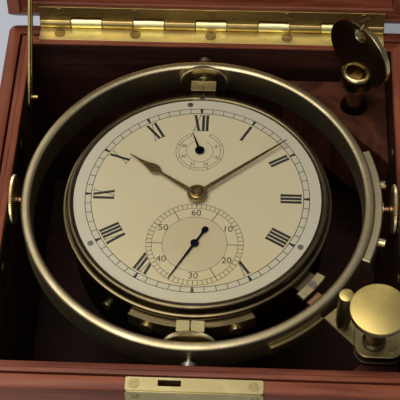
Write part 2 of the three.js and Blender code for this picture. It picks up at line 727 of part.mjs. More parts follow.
function lockBase() {
  const x0 = -7.7;
  const x1 = wedgeGap - lockGroup.position.x;
  const outline = roundedRectangle(x1 - x0, 16.3, 5.7, (x0 + x1) / 2, 0.85);
  const upper = slab(outline, -3, -1);
  const lower = slab(outline, -8.7, -6);
  const post = block(x1 - 2.4, x1 - 0.2, 0, 6, -7, -2);
  const shape = join(upper, lower, post);
  return cut(shape, rod(2.5, -9.5, 1, 0, 0, 12));
}

function lockBar() {
  const bar = join(
    block(-lockLength, 0, -lockWidth / 2, lockWidth / 2, -5.4, -3.5),
    rod(lockWidth / 2, -5.4, -3.5, 0, 0, 32),
  );
  return cut(bar, rod(2.5, -7, -2)).rotate([0, 0, lockAngle]);
}

function lockStud() {
  const stud = rod(3, -3.2, 20.4, -14.4, -3, 24);
  return stud.rotate([0, 0, lockAngle]);
}

function lockKnob() {
  const pivot = [[0, -8.6], [2.2, -8.6], [2.2, -0.6], [3.6, -0.6]];
  const head = [[3.6, 17], [9.8, 20.6], [11.4, 21.8], [11.4, 24.6], [0, 24.6]];
  return turned([...pivot, ...head], 28);
}

piece(lockGroup, 'lock_base', lockBase(), brass);
piece(lockGroup, 'lock_bar', lockBar(), brass);
piece(lockGroup, 'lock_stud', lockStud(), brass);
piece(lockGroup, 'lock_knob', lockKnob(), brass);

// ---------- winding key in the back right corner ----------
const keyGroup = group(chronometer, gimbalX + keyX, gimbalY + keyY, rim + keyRise);
keyGroup.rotation.z = THREE.MathUtils.degToRad(keyAngle);

function keyBarrel() {
  const collar = rod(7.5, -10, 0, 0, 0, 32);
  const pipe = rod(4, -39, -9, 0, 0, 32);
  const slot = block(-9, 9, -1.6, 1.6, -5.8, 1);
  const socket = block(-2, 2, -2, 2, -40, -29);
  const bore = rod(5, -4.5, 1, 0, 0, 24);
  return cut(join(collar, pipe), slot, socket, bore);
}

function keyBow() {
  const disc = rodY(17.5, -1.3, 1.3, 0, 12, 56);
  const hole = rodY(3.3, -3, 3, 0, 23.8, 20);
  const slit = block(-0.5, 0.5, -3, 3, 25, 33);
  return cut(disc, hole, slit);
}
piece(keyGroup, 'key_barrel', keyBarrel(), brass);
piece(keyGroup, 'key_bow', keyBow(), brass);

export default chronometer;
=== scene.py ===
"""Looks of a boxed marine chronometer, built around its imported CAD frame.

Shapes are worked out in millimetres in the row frame; build() turns them into metres.
"""
import json
import math

import bmesh
import bpy
from mathutils import Matrix, Vector
from mathutils.geometry import tessellate_polygon


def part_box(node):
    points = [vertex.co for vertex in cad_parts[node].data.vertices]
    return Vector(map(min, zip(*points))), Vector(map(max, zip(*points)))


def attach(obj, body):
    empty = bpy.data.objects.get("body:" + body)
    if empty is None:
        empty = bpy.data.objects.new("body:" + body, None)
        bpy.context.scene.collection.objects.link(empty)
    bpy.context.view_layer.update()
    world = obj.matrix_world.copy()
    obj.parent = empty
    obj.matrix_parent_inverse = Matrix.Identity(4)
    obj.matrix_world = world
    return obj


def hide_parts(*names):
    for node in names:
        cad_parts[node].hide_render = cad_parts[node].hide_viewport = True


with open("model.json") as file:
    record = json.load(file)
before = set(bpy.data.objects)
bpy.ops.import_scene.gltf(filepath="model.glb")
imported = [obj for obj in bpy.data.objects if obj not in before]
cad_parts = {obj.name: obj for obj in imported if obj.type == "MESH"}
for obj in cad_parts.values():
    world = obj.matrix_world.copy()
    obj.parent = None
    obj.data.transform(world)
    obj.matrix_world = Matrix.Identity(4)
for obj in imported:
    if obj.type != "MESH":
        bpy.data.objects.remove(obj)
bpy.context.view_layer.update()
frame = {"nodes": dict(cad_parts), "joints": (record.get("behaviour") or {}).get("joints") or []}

MM = 0.001


def box_mm(node):
    """Lowest and highest corners of a CAD node, in millimetres."""
    low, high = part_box(node)
    return low / MM, high / MM


def middle(node):
    low, high = box_mm(node)
    return (low + high) / 2


def radius_of(node):
    low, high = box_mm(node)
    return (high.x - low.x) / 2


def joint(name):
    return next(j for j in frame["joints"] if j["name"] == name)


def joint_mm(name):
    return [value / MM for value in joint(name)["pos_m"]]


# ---------- places and sizes taken from the frame ----------
half = box_mm("box_base")[1].x
rim = box_mm("box_base")[1].z
gimbal = middle("gimbal_ring")
ring_outer = radius_of("gimbal_ring")
dial_radius = radius_of("dial")
dial_top = box_mm("dial")[1].z
bezel_outer = radius_of("bezel")
hinge_y, hinge_z = joint_mm("lid_hinge")[1:]
lid_angle = -joint("lid_hinge")["range_deg"][0]
lock_x, lock_y = joint_mm("gimbal_lock")[:2]

# the case, its hinge and the bored parts, in millimetres as in the part's source
wall = 11.9
inner = half - wall
floor_top = 10
corner_radius = 4
lip_width = 5
groove_width = 1
groove_depth = 4
lid_gap = 1
lid_height = 65
lid_top = 9
hinge_length = 161
hinge_radius = 2.6
knuckle_count = 11
hole_radius = 2.25
screw_smooth = 25  # degrees between faces that stay smooth on a screw head


# ---------- camera, at the angle the object is looked at from ----------
def add_camera():
    pitch, yaw, roll = [math.radians(angle) for angle in (54.694, -3.848, -1.61)]
    look = Vector((math.sin(yaw) * math.cos(pitch), math.cos(yaw) * math.cos(pitch), -math.sin(pitch)))
    level = Vector((math.cos(yaw), -math.sin(yaw), 0))
    upward = level.cross(look)
    right = level * math.cos(roll) + upward * math.sin(roll)
    up = upward * math.cos(roll) - level * math.sin(roll)
    data = bpy.data.cameras.new("camera")
    data.sensor_width = 36
    data.lens = 122.3
    camera = bpy.data.objects.new("camera", data)
    camera.matrix_world = Matrix((right, up, -look)).transposed().to_4x4()
    camera.location = (0.0216, -0.3396, 0.5933)
    bpy.context.scene.collection.objects.link(camera)
    bpy.context.scene.camera = camera


add_camera()


# ---------- material building ----------
class Shader:
    """A node material around one Principled shader, with short ways to add what feeds it."""

    def __init__(self, name):
        self.material = bpy.data.materials.new(name)
        self.material.use_nodes = True
        self.tree = self.material.node_tree
        self.tree.nodes.clear()
        output = self.tree.nodes.new("ShaderNodeOutputMaterial")
        self.surface = self.tree.nodes.new("ShaderNodeBsdfPrincipled")
        self.tree.links.new(self.surface.outputs[0], output.inputs[0])
        self.place = self.tree.nodes.new("ShaderNodeTexCoord").outputs["Object"]

    def node(self, kind, inputs=(), **settings):
        made = self.tree.nodes.new("ShaderNode" + kind)
        for key, value in settings.items():
            setattr(made, key, value)
        for key, value in dict(inputs).items():
            self.feed(made.inputs[key], value)
        return made

    def feed(self, socket, value):
        if isinstance(value, bpy.types.NodeSocket):
            self.tree.links.new(value, socket)
        else:
            socket.default_value = (*value, 1) if socket.type == "RGBA" and len(value) == 3 else value

    def set(self, **values):
        for key, value in values.items():
            self.feed(self.surface.inputs[key.replace("_", " ")], value)

    def noise(self, *scale, detail=4, distortion=0, roughness=0.55):
        """Noise in object space, with one scale or three, per metre."""
        spread = scale * 3 if len(scale) == 1 else scale
        vector = self.node("Mapping", {"Vector": self.place, "Scale": spread}).outputs[0]
        inputs = {"Vector": vector, "Scale": 1, "Detail": detail}
        inputs.update({"Distortion": distortion, "Roughness": roughness})
        return self.node("TexNoise", inputs).outputs[0]

    def ramp(self, factor, *stops):
        made = self.node("ValToRGB", {0: factor})
        elements = made.color_ramp.elements
        while len(elements) < len(stops):
            elements.new(0.5)
        for element, (place, colour) in zip(elements, stops):
            element.position = place
            element.color = (*colour, 1)
        return made.outputs[0]

    def span(self, value, low, high, to_low, to_high):
        inputs = {"Value": value, "From Min": low, "From Max": high, "To Min": to_low, "To Max": to_high}
        return self.node("MapRange", inputs).outputs[0]

    def math(self, operation, first, second):
        return self.node("Math", {0: first, 1: second}, operation=operation).outputs[0]

    def mix(self, factor, first, second, blend="MIX"):
        made = self.node("Mix", data_type="RGBA", blend_type=blend)
        for index, value in ((0, factor), (6, first), (7, second)):
            self.feed(made.inputs[index], value)
        return made.outputs[2]

    def bump(self, height, strength, distance):
        made = self.node("Bump", {"Height": height, "Strength": strength, "Distance": distance})
        self.set(Normal=made.outputs[0])

    def edges(self):
        """How far a point lies on an outward edge, from 0 to 1."""
        return self.span(self.node("NewGeometry").outputs["Pointiness"], 0.505, 0.56, 0, 1)


def stretched(axis, along, across):
    """Three scales, with another one along an axis."""
    return tuple(along if index == axis else across for index in range(3))


def tint(colour, factor):
    return tuple(min(1, factor * c) for c in colour)


def wood(name, axis, dark, middle, light, polish=0.28):
    """Polished mahogany with its grain along one axis: ribbon figure, fibres and short dark pores."""
    m = Shader(name)
    figure = m.noise(*stretched(axis, 7, 62), detail=3, distortion=0.9)
    fibres = m.noise(*stretched(axis, 26, 620), detail=6, roughness=0.7)
    pores = m.noise(*stretched(axis, 130, 2900), detail=2)
    blend = m.math("ADD", m.math("MULTIPLY", figure, 0.62), m.math("MULTIPLY", fibres, 0.38))
    colour = m.ramp(blend, (0.36, dark), (0.5, middle), (0.66, light))
    pits = m.span(pores, 0.56, 0.66, 0, 1)
    colour = m.mix(m.math("MULTIPLY", pits, 0.55), colour, tint(dark, 0.35))
    worn = m.math("MULTIPLY", m.edges(), m.span(figure, 0.4, 0.6, 0.15, 0.6))
    m.set(Base_Color=m.mix(worn, colour, tint(light, 1.5)))
    m.set(Roughness=m.span(fibres, 0.3, 0.7, polish, polish + 0.16))
    m.set(Specular_IOR_Level=0.16, Coat_Weight=0.06, Coat_Roughness=0.2)
    m.bump(m.math("SUBTRACT", fibres, pits), 0.16, 0.00016)
    return m.material


def metal(name, bright, dull, rough, grain=None, about=None, tarnish=0.5):
    """Worked metal: cloudy tarnish, spots, and brushing along an axis or turning lines about a point."""
    m = Shader(name)
    pitch = 2300
    clouds = m.noise(95, detail=6, roughness=0.62)
    spots = m.noise(900, detail=3)
    if about is not None:
        shifted = m.node("VectorMath", {0: m.place, 1: tuple(-c * MM for c in about)}, operation="ADD")
        flat = m.node("VectorMath", {0: shifted.outputs[0], 1: (pitch, pitch, 0)}, operation="MULTIPLY")
        distance = m.node("VectorMath", {0: flat.outputs[0]}, operation="LENGTH").outputs["Value"]
        lines = m.node("TexNoise", {"W": distance, "Scale": 1, "Detail": 3}, noise_dimensions="1D").outputs[0]
    elif grain is not None:
        lines = m.noise(*stretched(grain, 45, pitch), detail=3)
    else:
        lines = m.noise(380, 1900, 700, detail=4, distortion=0.4)
    shade = m.span(clouds, 0.62 - 0.25 * tarnish, 0.34 - 0.1 * tarnish, 0, 1)
    colour = m.mix(shade, dull, bright)
    colour = m.mix(m.span(spots, 0.62, 0.74, 0, 0.55 * tarnish), colour, tint(dull, 0.35))
    colour = m.mix(m.math("MULTIPLY", m.edges(), 0.35), colour, tint(bright, 1.25))
    m.set(Base_Color=colour, Metallic=1.0)
    uneven = m.math("ADD", m.math("MULTIPLY", lines, 0.6), m.math("MULTIPLY", clouds, 0.4))
    m.set(Roughness=m.span(uneven, 0.3, 0.7, rough - 0.07, rough + 0.12))
    m.bump(lines, 0.08, 0.00006)
    return m.material


def silvering(name, pale, warm, centre, reach):
    """Grained silvering that has yellowed in clouds, and is warmer towards one place."""
    m = Shader(name)
    grain = m.noise(5200, detail=2)
    clouds = m.noise(55, detail=5)
    away = m.node("VectorMath", {0: m.place, 1: tuple(c * MM for c in centre)}, operation="DISTANCE")
    near = m.span(away.outputs["Value"], 0, reach * MM, 0.75, 0)
    warmth = m.math("ADD", near, m.span(clouds, 0.35, 0.75, -0.1, 0.3))
    colour = m.mix(warmth, pale, warm)
    colour = m.mix(m.span(grain, 0.55, 0.75, 0, 0.14), colour, (0.25, 0.2, 0.12))
    m.set(Base_Color=colour, Metallic=0.25)
    m.set(Roughness=m.span(grain, 0.3, 0.7, 0.42, 0.56))
    m.bump(grain, 0.07, 0.00003)
    return m.material


def ink(name, colour):
    m = Shader(name)
    mottle = m.noise(1500, detail=4)
    m.set(Base_Color=m.mix(mottle, colour, tuple(2.2 * c + 0.004 for c in colour)))
    m.set(Roughness=m.span(mottle, 0.3, 0.7, 0.35, 0.55))
    m.bump(mottle, 0.1, 0.00002)
    return m.material


def clear_glass(name):
    m = Shader(name)
    smears = m.noise(40, 130, 60, detail=5, distortion=0.8)
    m.set(Base_Color=(0.02, 0.02, 0.02, 1), Alpha=0.045, IOR=1.5)
    m.set(Roughness=m.span(smears, 0.35, 0.75, 0.015, 0.09))
    return m.material


def painted(name, colour, rough):
    m = Shader(name)
    mottle = m.noise(6, detail=4)
    m.set(Base_Color=m.mix(mottle, colour, tint(colour, 0.96)), Roughness=rough)
    return m.material


mahogany_dark, mahogany_mid = (0.070, 0.015, 0.007), (0.152, 0.035, 0.015)
mahogany_light = (0.25, 0.072, 0.034)
# Much darker copies of the mahogany colours: painted shade for the inside of the case and the corner blocks
# in it.
painted_shade_dark, painted_shade_mid, painted_shade_light = (0.010, 0.0035, 0.002), (0.026, 0.008, 0.004), (0.05, 0.015, 0.007)
painted_shade_wood = wood("mahogany_painted_shade", 0, painted_shade_dark, painted_shade_mid, painted_shade_light, 0.5)
# The corner blocks' wood is darkened the same way, as painted shade.
painted_shade_block_wood = wood("corner_wood_painted_shade", 2, painted_shade_dark, (0.05, 0.014, 0.006), (0.09, 0.026, 0.01), 0.4)
wood_x = wood("mahogany_across", 0, mahogany_dark, mahogany_mid, mahogany_light)
wood_y = wood("mahogany_fore_and_aft", 1, mahogany_dark, mahogany_mid, mahogany_light)
lid_side_wood = wood("mahogany_lid_sides", 2, mahogany_dark, mahogany_mid, mahogany_light)
centre_mm = (gimbal.x, gimbal.y, 0)
box_brass = metal("box_brass", (0.62, 0.46, 0.17), (0.34, 0.23, 0.08), 0.34, grain=0)
side_brass = metal("side_brass", (0.42, 0.31, 0.12), (0.24, 0.17, 0.06), 0.34, grain=1)
ring_brass = metal("ring_brass", (0.62, 0.52, 0.31), (0.47, 0.37, 0.20), 0.36, about=centre_mm, tarnish=0.3)
pale_brass = metal("pale_brass", (0.74, 0.62, 0.34), (0.48, 0.38, 0.18), 0.3, tarnish=0.45)
boss_brass = metal("boss_brass", (0.56, 0.46, 0.22), (0.34, 0.26, 0.11), 0.34, tarnish=0.5)
leaf_brass = metal("leaf_brass", (0.98, 0.82, 0.40), (0.74, 0.57, 0.24), 0.36, grain=0, tarnish=0.3)
lock_brass = metal("lock_brass", (0.72, 0.54, 0.18), (0.56, 0.41, 0.13), 0.38,
                   about=(lock_x, lock_y, 0), tarnish=0.4)
lock_plate_brass = metal("lock_plate_brass", (0.46, 0.36, 0.15), (0.26, 0.19, 0.08), 0.36, 0, tarnish=0.6)
lock_face_brass = metal("lock_face_brass", (0.54, 0.45, 0.22), (0.38, 0.30, 0.13), 0.36, 0, tarnish=0.5)
leaf_shadow = metal("leaf_shadow", (0.50, 0.36, 0.13), (0.3, 0.2, 0.07), 0.36, 0, tarnish=0.5)
screw_brass = metal("screw_brass", (0.50, 0.36, 0.14), (0.22, 0.15, 0.06), 0.36, tarnish=0.8)
lock_shadow = metal("lock_shadow", (0.20, 0.15, 0.07), (0.1, 0.075, 0.035), 0.36, tarnish=0.6)
key_brass = metal("key_brass", (0.60, 0.49, 0.25), (0.36, 0.28, 0.13), 0.2, tarnish=0.5)
key_face = metal("key_face", (0.42, 0.33, 0.16), (0.3, 0.22, 0.1), 0.13, tarnish=0.4)
bezel_brass = metal("bezel_brass", (0.26, 0.19, 0.09), (0.13, 0.10, 0.05), 0.3, about=centre_mm, tarnish=0.7)
bowl_brass = metal("bowl_brass", (0.09, 0.07, 0.04), (0.04, 0.03, 0.02), 0.42, about=centre_mm, tarnish=0.7)
copper = metal("copper", (0.55, 0.27, 0.13), (0.3, 0.14, 0.07), 0.3)
screw_steel = metal("screw_steel", (0.5, 0.46, 0.38), (0.2, 0.17, 0.12), 0.3, tarnish=0.6)
movement_brass = metal("movement_brass", (0.78, 0.58, 0.24), (0.6, 0.42, 0.15), 0.25, grain=1, tarnish=0.2)
blued = metal("blued_steel", (0.012, 0.015, 0.035), (0.005, 0.006, 0.014), 0.26, tarnish=0.2)
gold = metal("gilt", (0.42, 0.29, 0.11), (0.22, 0.14, 0.05), 0.26, tarnish=0.25)
seconds_centre = middle("fourth_wheel")
dial_face = silvering("dial_silvering", (0.76, 0.65, 0.385), (0.73, 0.58, 0.29),
                      (gimbal.x, gimbal.y - 46, dial_top), 62)
dial_edge = silvering("dial_edge_silvering", (0.69, 0.62, 0.43), (0.66, 0.56, 0.33),
                      (gimbal.x, gimbal.y - 60, dial_top), 50)
seconds_face = silvering("seconds_silvering", (0.69, 0.575, 0.345), (0.66, 0.52, 0.26),
                         (seconds_centre.x, seconds_centre.y, dial_top), 26)
black_ink = ink("black_ink", (0.012, 0.01, 0.009))
soft_ink = ink("fine_ink", (0.02, 0.016, 0.012))
crystal_glass = clear_glass("crystal_glass")


# ---------- shapes ----------
def build(name, bm, body, materials, replaces=(), smooth=32):
    """Makes an object of a bmesh in millimetres, rides it on a body and hides the CAD parts it stands for."""
    bmesh.ops.scale(bm, vec=(MM, MM, MM), verts=bm.verts)
    bmesh.ops.recalc_face_normals(bm, faces=bm.faces)
    mesh = bpy.data.meshes.new(name)
    bm.to_mesh(mesh)
    bm.free()
    for material in materials if isinstance(materials, list) else [materials]:
        mesh.materials.append(material)
    mesh.polygons.foreach_set("use_smooth", [True] * len(mesh.polygons))
    mesh.set_sharp_from_angle(angle=math.radians(smooth))
    piece = bpy.data.objects.new(name, mesh)
    bpy.context.scene.collection.objects.link(piece)
    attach(piece, body)
    if replaces:
        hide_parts(*replaces)


def facing(direction, position, spin=0):
    """A transform that turns +Z to a direction, after a spin about it, and moves to a position."""
    turn = Vector(direction).to_track_quat("Z", "Y").to_matrix().to_4x4()
    return Matrix.Translation(position) @ turn @ Matrix.Rotation(math.radians(spin), 4, "Z")


def placed(x, y, z, degrees=0, axis="Z"):
    """A transform that turns about an axis and then moves to a position."""
    return Matrix.Translation((x, y, z)) @ Matrix.Rotation(math.radians(degrees), 4, axis)


def at_gimbal(angle=0.0):
    return placed(gimbal.x, gimbal.y, gimbal.z, angle)


def outward(degrees):
    angle = math.radians(degrees)
    return Vector((math.cos(angle), math.sin(angle), 0))


def moved(bm, verts, matrix):
    if matrix is not None:
        bmesh.ops.transform(bm, matrix=matrix, verts=verts)


def fresh(draw, *shape, **more):
    """A new mesh with one shape drawn in it."""
    bm = bmesh.new()
    draw(bm, *shape, **more)
    return bm


def rod(radius, low, high):
    return [(0, low), (radius, low), (radius, high), (0, high)]


def paint(faces, rule):
    """Gives each face the material number that a rule makes of its middle."""
    for face in faces:
        face.material_index = rule(face.calc_center_median())


def shade_below(bm, level):
    """Gives the second material to every face that lies below a level."""
    paint(bm.faces, lambda centre: int(centre.z <= level))


def skin(bm, low, high):
    """Faces between two rings of points, or between a ring and a single point."""
    faces = []
    count = max(len(low), len(high))
    for index in range(count):
        after = (index + 1) % count
        if len(low) == 1:
            corners = low[0], high[after], high[index]
        elif len(high) == 1:
            corners = low[index], low[after], high[0]
        else:
            corners = low[index], low[after], high[after], high[index]
        faces.append(bm.faces.new(corners))
    return faces


def lathe(bm, profile, matrix=None, segments=128, wave=None):
    """Turns [radius, height] points about Z. A profile that leaves the axis closes on itself."""
    rings = []
    for radius, height in profile:
        if radius == 0:
            rings.append([bm.verts.new((0, 0, height))])
            continue
        ring = []
        for index in range(segments):
            angle = 2 * math.pi * index / segments
            reach = radius if wave is None else wave(radius, height, index)
            ring.append(bm.verts.new((reach * math.cos(angle), reach * math.sin(angle), height)))
        rings.append(ring)
    pairs = list(zip(rings, rings[1:]))
    if profile[0][0] != 0:
        pairs.append((rings[-1], rings[0]))
    for low, high in pairs:
        skin(bm, low, high)
    moved(bm, [vert for ring in rings for vert in ring], matrix)


def signed_area(points):
    return sum(a[0] * b[1] - b[0] * a[1] for a, b in zip(points, points[1:] + points[:1])) / 2


def offset(points, distance):
    """Moves a closed outline outwards by a distance, or inwards where it is negative."""
    made = []
    sign = 1 if signed_area(points) > 0 else -1
    count = len(points)
    for index in range(count):
        before, here = Vector(points[index - 1]), Vector(points[index])
        after = Vector(points[(index + 1) % count])
        first = (here - before).normalized()
        second = (after - here).normalized()
        normal_a = Vector((first.y, -first.x)) * sign
        normal_b = Vector((second.y, -second.x)) * sign
        reach = (normal_a + normal_b) / max(0.35, 1 + normal_a.dot(normal_b))
        made.append(tuple(here + reach * distance))
    return made


def plate(bm, outline, z0, z1, holes=(), edge=0.25, matrix=None):
    """A flat plate with a drawn outline, holes and a small chamfer on every rim."""
    loops = [list(outline), *[list(hole) for hole in holes]]
    levels = [(-edge, z0), (0, z0 + edge), (0, z1 - edge), (-edge, z1)] if edge else [(0, z0), (0, z1)]
    rows = []
    for spread, height in levels:
        row = []
        for number, loop in enumerate(loops):
            shifted = offset(loop, spread if number == 0 else -spread) if spread else loop
            row.append([bm.verts.new((x, y, height)) for x, y in shifted])
        rows.append(row)
    for low, high in zip(rows, rows[1:]):
        for low_ring, high_ring in zip(low, high):
            skin(bm, low_ring, high_ring)
    for row in (rows[0], rows[-1]):
        flat = [vert for ring in row for vert in ring]
        if len(row) == 1:
            bm.faces.new(row[0])
            continue
        for triangle in tessellate_polygon([[vert.co for vert in ring] for ring in row]):
            bm.faces.new([flat[index] for index in triangle])
    moved(bm, [vert for row in rows for ring in row for vert in ring], matrix)


def arc(radius, start, end, steps, x=0, y=0):
    """Points on a circle between two angles in degrees, both ends included."""
    angles = [math.radians(start + (end - start) * index / steps) for index in range(steps + 1)]
    return [(x + radius * math.cos(a), y + radius * math.sin(a)) for a in angles]


def circle(radius, steps=48, x=0, y=0):
    return arc(radius, 0, 360 - 360 / steps, steps - 1, x, y)


def rounded_rectangle(width, depth, radius, x=0, y=0, steps=6):
    w, d = width / 2 - radius, depth / 2 - radius
    corners = [(w, d, 0), (-w, d, 90), (-w, -d, 180), (w, -d, 270)]
    return [p for cx, cy, start in corners for p in arc(radius, start, start + 90, steps, x + cx, y + cy)]


def sector(radius, outer, start, end, steps=24):
    return arc(outer, start, end, steps) + arc(radius, end, start, steps)


def block(bm, low, high, matrix=None, edge=0.25):
    outline = [(low[0], low[1]), (high[0], low[1]), (high[0], high[1]), (low[0], high[1])]
    plate(bm, outline, low[2], high[2], edge=edge, matrix=matrix)


def cheese_head(bm, radius, height, matrix, slot=0.7, sunk=0.0):
    """A slotted round screw head: a disc with two half moons on it."""
    floor_level = max(height - 0.9, height * 0.3)
    lathe(bm, rod(radius, -sunk, floor_level), matrix, 40)
    start = math.degrees(math.asin(slot / 2 / radius))
    for turn in (0, 180):
        moon = arc(radius, turn + start, turn + 180 - start, 22)
        plate(bm, moon, floor_level - 0.05, height, edge=0.12, matrix=matrix)


def carve(bm, *cutters):
    """Cuts closed meshes out of a closed mesh and returns the result."""
    objects = []
    for source in (bm, *cutters):
        bmesh.ops.recalc_face_normals(source, faces=source.faces)
        mesh = bpy.data.meshes.new("carving")
        source.to_mesh(mesh)
        source.free()
        thing = bpy.data.objects.new("carving", mesh)
        bpy.context.scene.collection.objects.link(thing)
        objects.append(thing)
    for cutter in objects[1:]:
        boolean = objects[0].modifiers.new("cut", "BOOLEAN")
        boolean.operation = "DIFFERENCE"
        boolean.solver = "EXACT"
        boolean.object = cutter
    bpy.context.view_layer.update()
    graph = bpy.context.evaluated_depsgraph_get()
    result = bmesh.new()
    result.from_mesh(objects[0].evaluated_get(graph).to_mesh())
    bmesh.ops.remove_doubles(result, verts=result.verts, dist=1e-4)
    for thing in objects:
        bpy.data.objects.remove(thing)
    return result


def screws(name, body, material, sizes, places):
    """One piece of screw heads; sizes are a head's radius, height, slot width and depth in its seat."""
    radius, height, width, sunk = sizes
    bm = bmesh.new()
    for place in places:
        cheese_head(bm, radius, height, place, width, sunk)
    build(name, bm, body, material, smooth=screw_smooth)


def on_gimbal(outline, z0, z1, edge=0.25, holes=()):
    """A plate drawn about the gimbals' centre, with heights above it."""
    return fresh(plate, outline, z0, z1, holes, edge, at_gimbal())


# ---------- the wooden case ----------
def across_or_aft(centre):
    """Material 0 on the front and back walls and 1 on the side walls."""
    return int(abs(centre.y) <= abs(centre.x))


def frame_sweep(profile):
    """A square case part: rings of a rounded square at each [inset, height], capped at both ends."""
    bm = bmesh.new()
    rings = []
    for inset, height in profile:
        radius = max(corner_radius - inset, 0.5)
        side = 2 * (half - inset)
        outline = rounded_rectangle(side, side, radius)
        rings.append([bm.verts.new((x, y, height)) for x, y in outline])
    for low, high in zip(rings, rings[1:]):
        paint(skin(bm, low, high), across_or_aft)
    for ring in (rings[0], rings[-1]):
        bm.faces.new(ring)
    return bm


def make_case():
    groove_out = half - (inner + lip_width + groove_width)
    groove_in = half - (inner + lip_width)
    top = [
        (0, 1.7), (0.15, 0.9), (0.6, 0.3), (1.4, 0), (groove_out - 0.4, 0), (groove_out - 0.1, 0.12),
        (groove_out, 0.5), (groove_out, groove_depth), (groove_in, groove_depth), (groove_in, 0.6),
        (groove_in + 0.15, 0.15), (groove_in + 0.6, 0), (groove_in + 1.9, 0), (groove_in + 2.0, 0.25),
        (groove_in + 2.2, 0.25), (groove_in + 2.3, 0), (wall - 0.9, 0), (wall - 0.3, 0.2), (wall, 0.8),
    ]
    profile = [(1.2, 0), (0.4, 0.3), (0, 1.2)]
    profile += [(inset, rim - drop) for inset, drop in top] + [(wall, floor_top)]
    lock_room = fresh(block, (-23, -94.1, rim - 29), (23, -88.6, rim + 1), edge=0)
    plate_room = fresh(block, (-26.7, -97, rim - 1.3), (27.9, -89.4, rim + 1), edge=0)
    bm = carve(frame_sweep(profile), lock_room, plate_room)

    # Faces inside the case take the darkened mahogany, painted shade for the case's inside.
    def wood_number(centre):
        inside = max(abs(centre.x), abs(centre.y)) < inner + 0.05 and 1 < centre.z < rim - 0.5
        return 2 if inside else across_or_aft(centre)

    paint(bm.faces, wood_number)
    build("case_base", bm, "box", [wood_x, wood_y, painted_shade_wood], ["box_base"], smooth=40)


def lid_turn():
    """From the shut lid's place to where it stands at rest."""
    return placed(0, hinge_y, hinge_z, -lid_angle, "X") @ Matrix.Translation((0, -hinge_y, -hinge_z))


lid_rim = rim + lid_gap
lid_roof = lid_rim + lid_height


def make_lid():
    ledge = half - (inner + lip_width + 0.7)
    lower = [(wall, 1.9), (wall - 0.3, 1.3), (wall - 0.9, 1), (ledge + 0.2, 1), (ledge, 0.8), (ledge, 0.4),
             (ledge - 0.4, 0), (1.4, 0), (0.5, 0.3), (0, 1.3)]
    upper = [(0, 2.4), (0.3, 1.2), (1.0, 0.35), (2.2, 0)]
    profile = [(wall, lid_roof - lid_top), *[(inset, lid_rim + rise) for inset, rise in lower],
               *[(inset, lid_roof - drop) for inset, drop in upper]]
    bm = frame_sweep(profile)
    for face in bm.faces:
        if len(face.verts) > 4:
            face.material_index = 0
    chamfer = 6.4
    for vert in bm.verts:
        vert.co.z = max(vert.co.z, lid_rim + vert.co.y - (half - chamfer))
    moved(bm, bm.verts, lid_turn())
    build("case_lid", bm, "lid", [wood_x, lid_side_wood], ["lid"], smooth=40)


def corner_block(name, side, holes=()):
    """A three-cornered block beside the right wall, at the back (side 1) or the front (side -1)."""
    low, high = box_mm(name)
    corner = inner - 0.35
    leg = high.x - low.x
    outline = [(corner, side * corner), (corner - leg, side * corner), (corner, side * (corner - leg))]
    bm = fresh(plate, outline[::side], low.z, high.z, holes, 0.5)
    # The block takes the darkened wood, painted shade for its place inside the case.
    build("corner_" + name, bm, "box", painted_shade_block_wood, [name])


make_case()
make_lid()
key_centre = middle("key_barrel")
corner_block("key_block", 1, [circle(6.2, 40, key_centre.x, key_centre.y)])
corner_block("lock_block", -1)


# ---------- hinge, stay and box lock ----------
knuckle = hinge_length / knuckle_count
hinge_screws = (-71, -35.5, 0, 35.5, 71)


def knuckles(bm, first, matrix):
    for index in range(first, knuckle_count, 2):
        start = -hinge_length / 2 + index * knuckle + 0.12
        length = knuckle - 0.24
        profile = [(1.3, 0), (hinge_radius - 0.2, 0), (hinge_radius, 0.2), (hinge_radius, length - 0.2),
                   (hinge_radius - 0.2, length), (1.3, length)]
        lathe(bm, profile, matrix @ facing((1, 0, 0), (start, hinge_y, hinge_z)), 36)


def leaf(name, body, node, material, first, y0, y1, z0, z1, screw_at, direction, matrix):
    """A hinge leaf: a plate with notches for the other leaf's knuckles, its own knuckles, and screws."""
    outline = [(-hinge_length / 2, y0), (hinge_length / 2, y0)]
    reach = hinge_radius + 0.3
    notch = hinge_y - math.sqrt(max(0.0, reach ** 2 - (hinge_z - (z0 + z1) / 2) ** 2))
    for index in range(knuckle_count - 1, -1, -1):
        left = -hinge_length / 2 + index * knuckle
        depth = y1 if index % 2 == first else min(y1, notch) - 1.3
        outline += [(left + knuckle - 0.1, depth), (left + 0.1, depth)]
    bm = fresh(plate, outline, z0, z1, edge=0.08, matrix=matrix)
    knuckles(bm, first, matrix)
    build(name, bm, body, material, [node])
    places = [matrix @ facing(direction, (x, *screw_at), 25 + 47 * number)
              for number, x in enumerate(hinge_screws)]
    screws(name + "_screws", body, screw_brass, (2.6, 0.3, 0.6, 0.5), places)


leaf("hinge_leaf_lower", "box", "hinge_leaf_base", leaf_brass, 1, inner + 2.3, half - 0.7, rim - 1, rim + 0.4,
     (89.9, rim + 0.35), (0, 0, 1), Matrix.Identity(4))
leaf("hinge_leaf_upper", "lid", "hinge_leaf_lid", leaf_shadow, 0, inner + 1.7, hinge_y - 1.7, lid_rim,
     lid_rim + 1.4, (hinge_y - 6.6, lid_rim + 0.05), (0, 0, -1), lid_turn())
pin_length = hinge_length + 0.4
pin_profile = [(0, 0), (0.9, 0), (1.2, 0.3), (1.2, hinge_length), (0.9, pin_length), (0, pin_length)]
pin = fresh(lathe, pin_profile, facing((1, 0, 0), (-hinge_length / 2 - 0.2, hinge_y, hinge_z)), 24)
build("hinge_rod", pin, "box", box_brass, ["hinge_pin"])


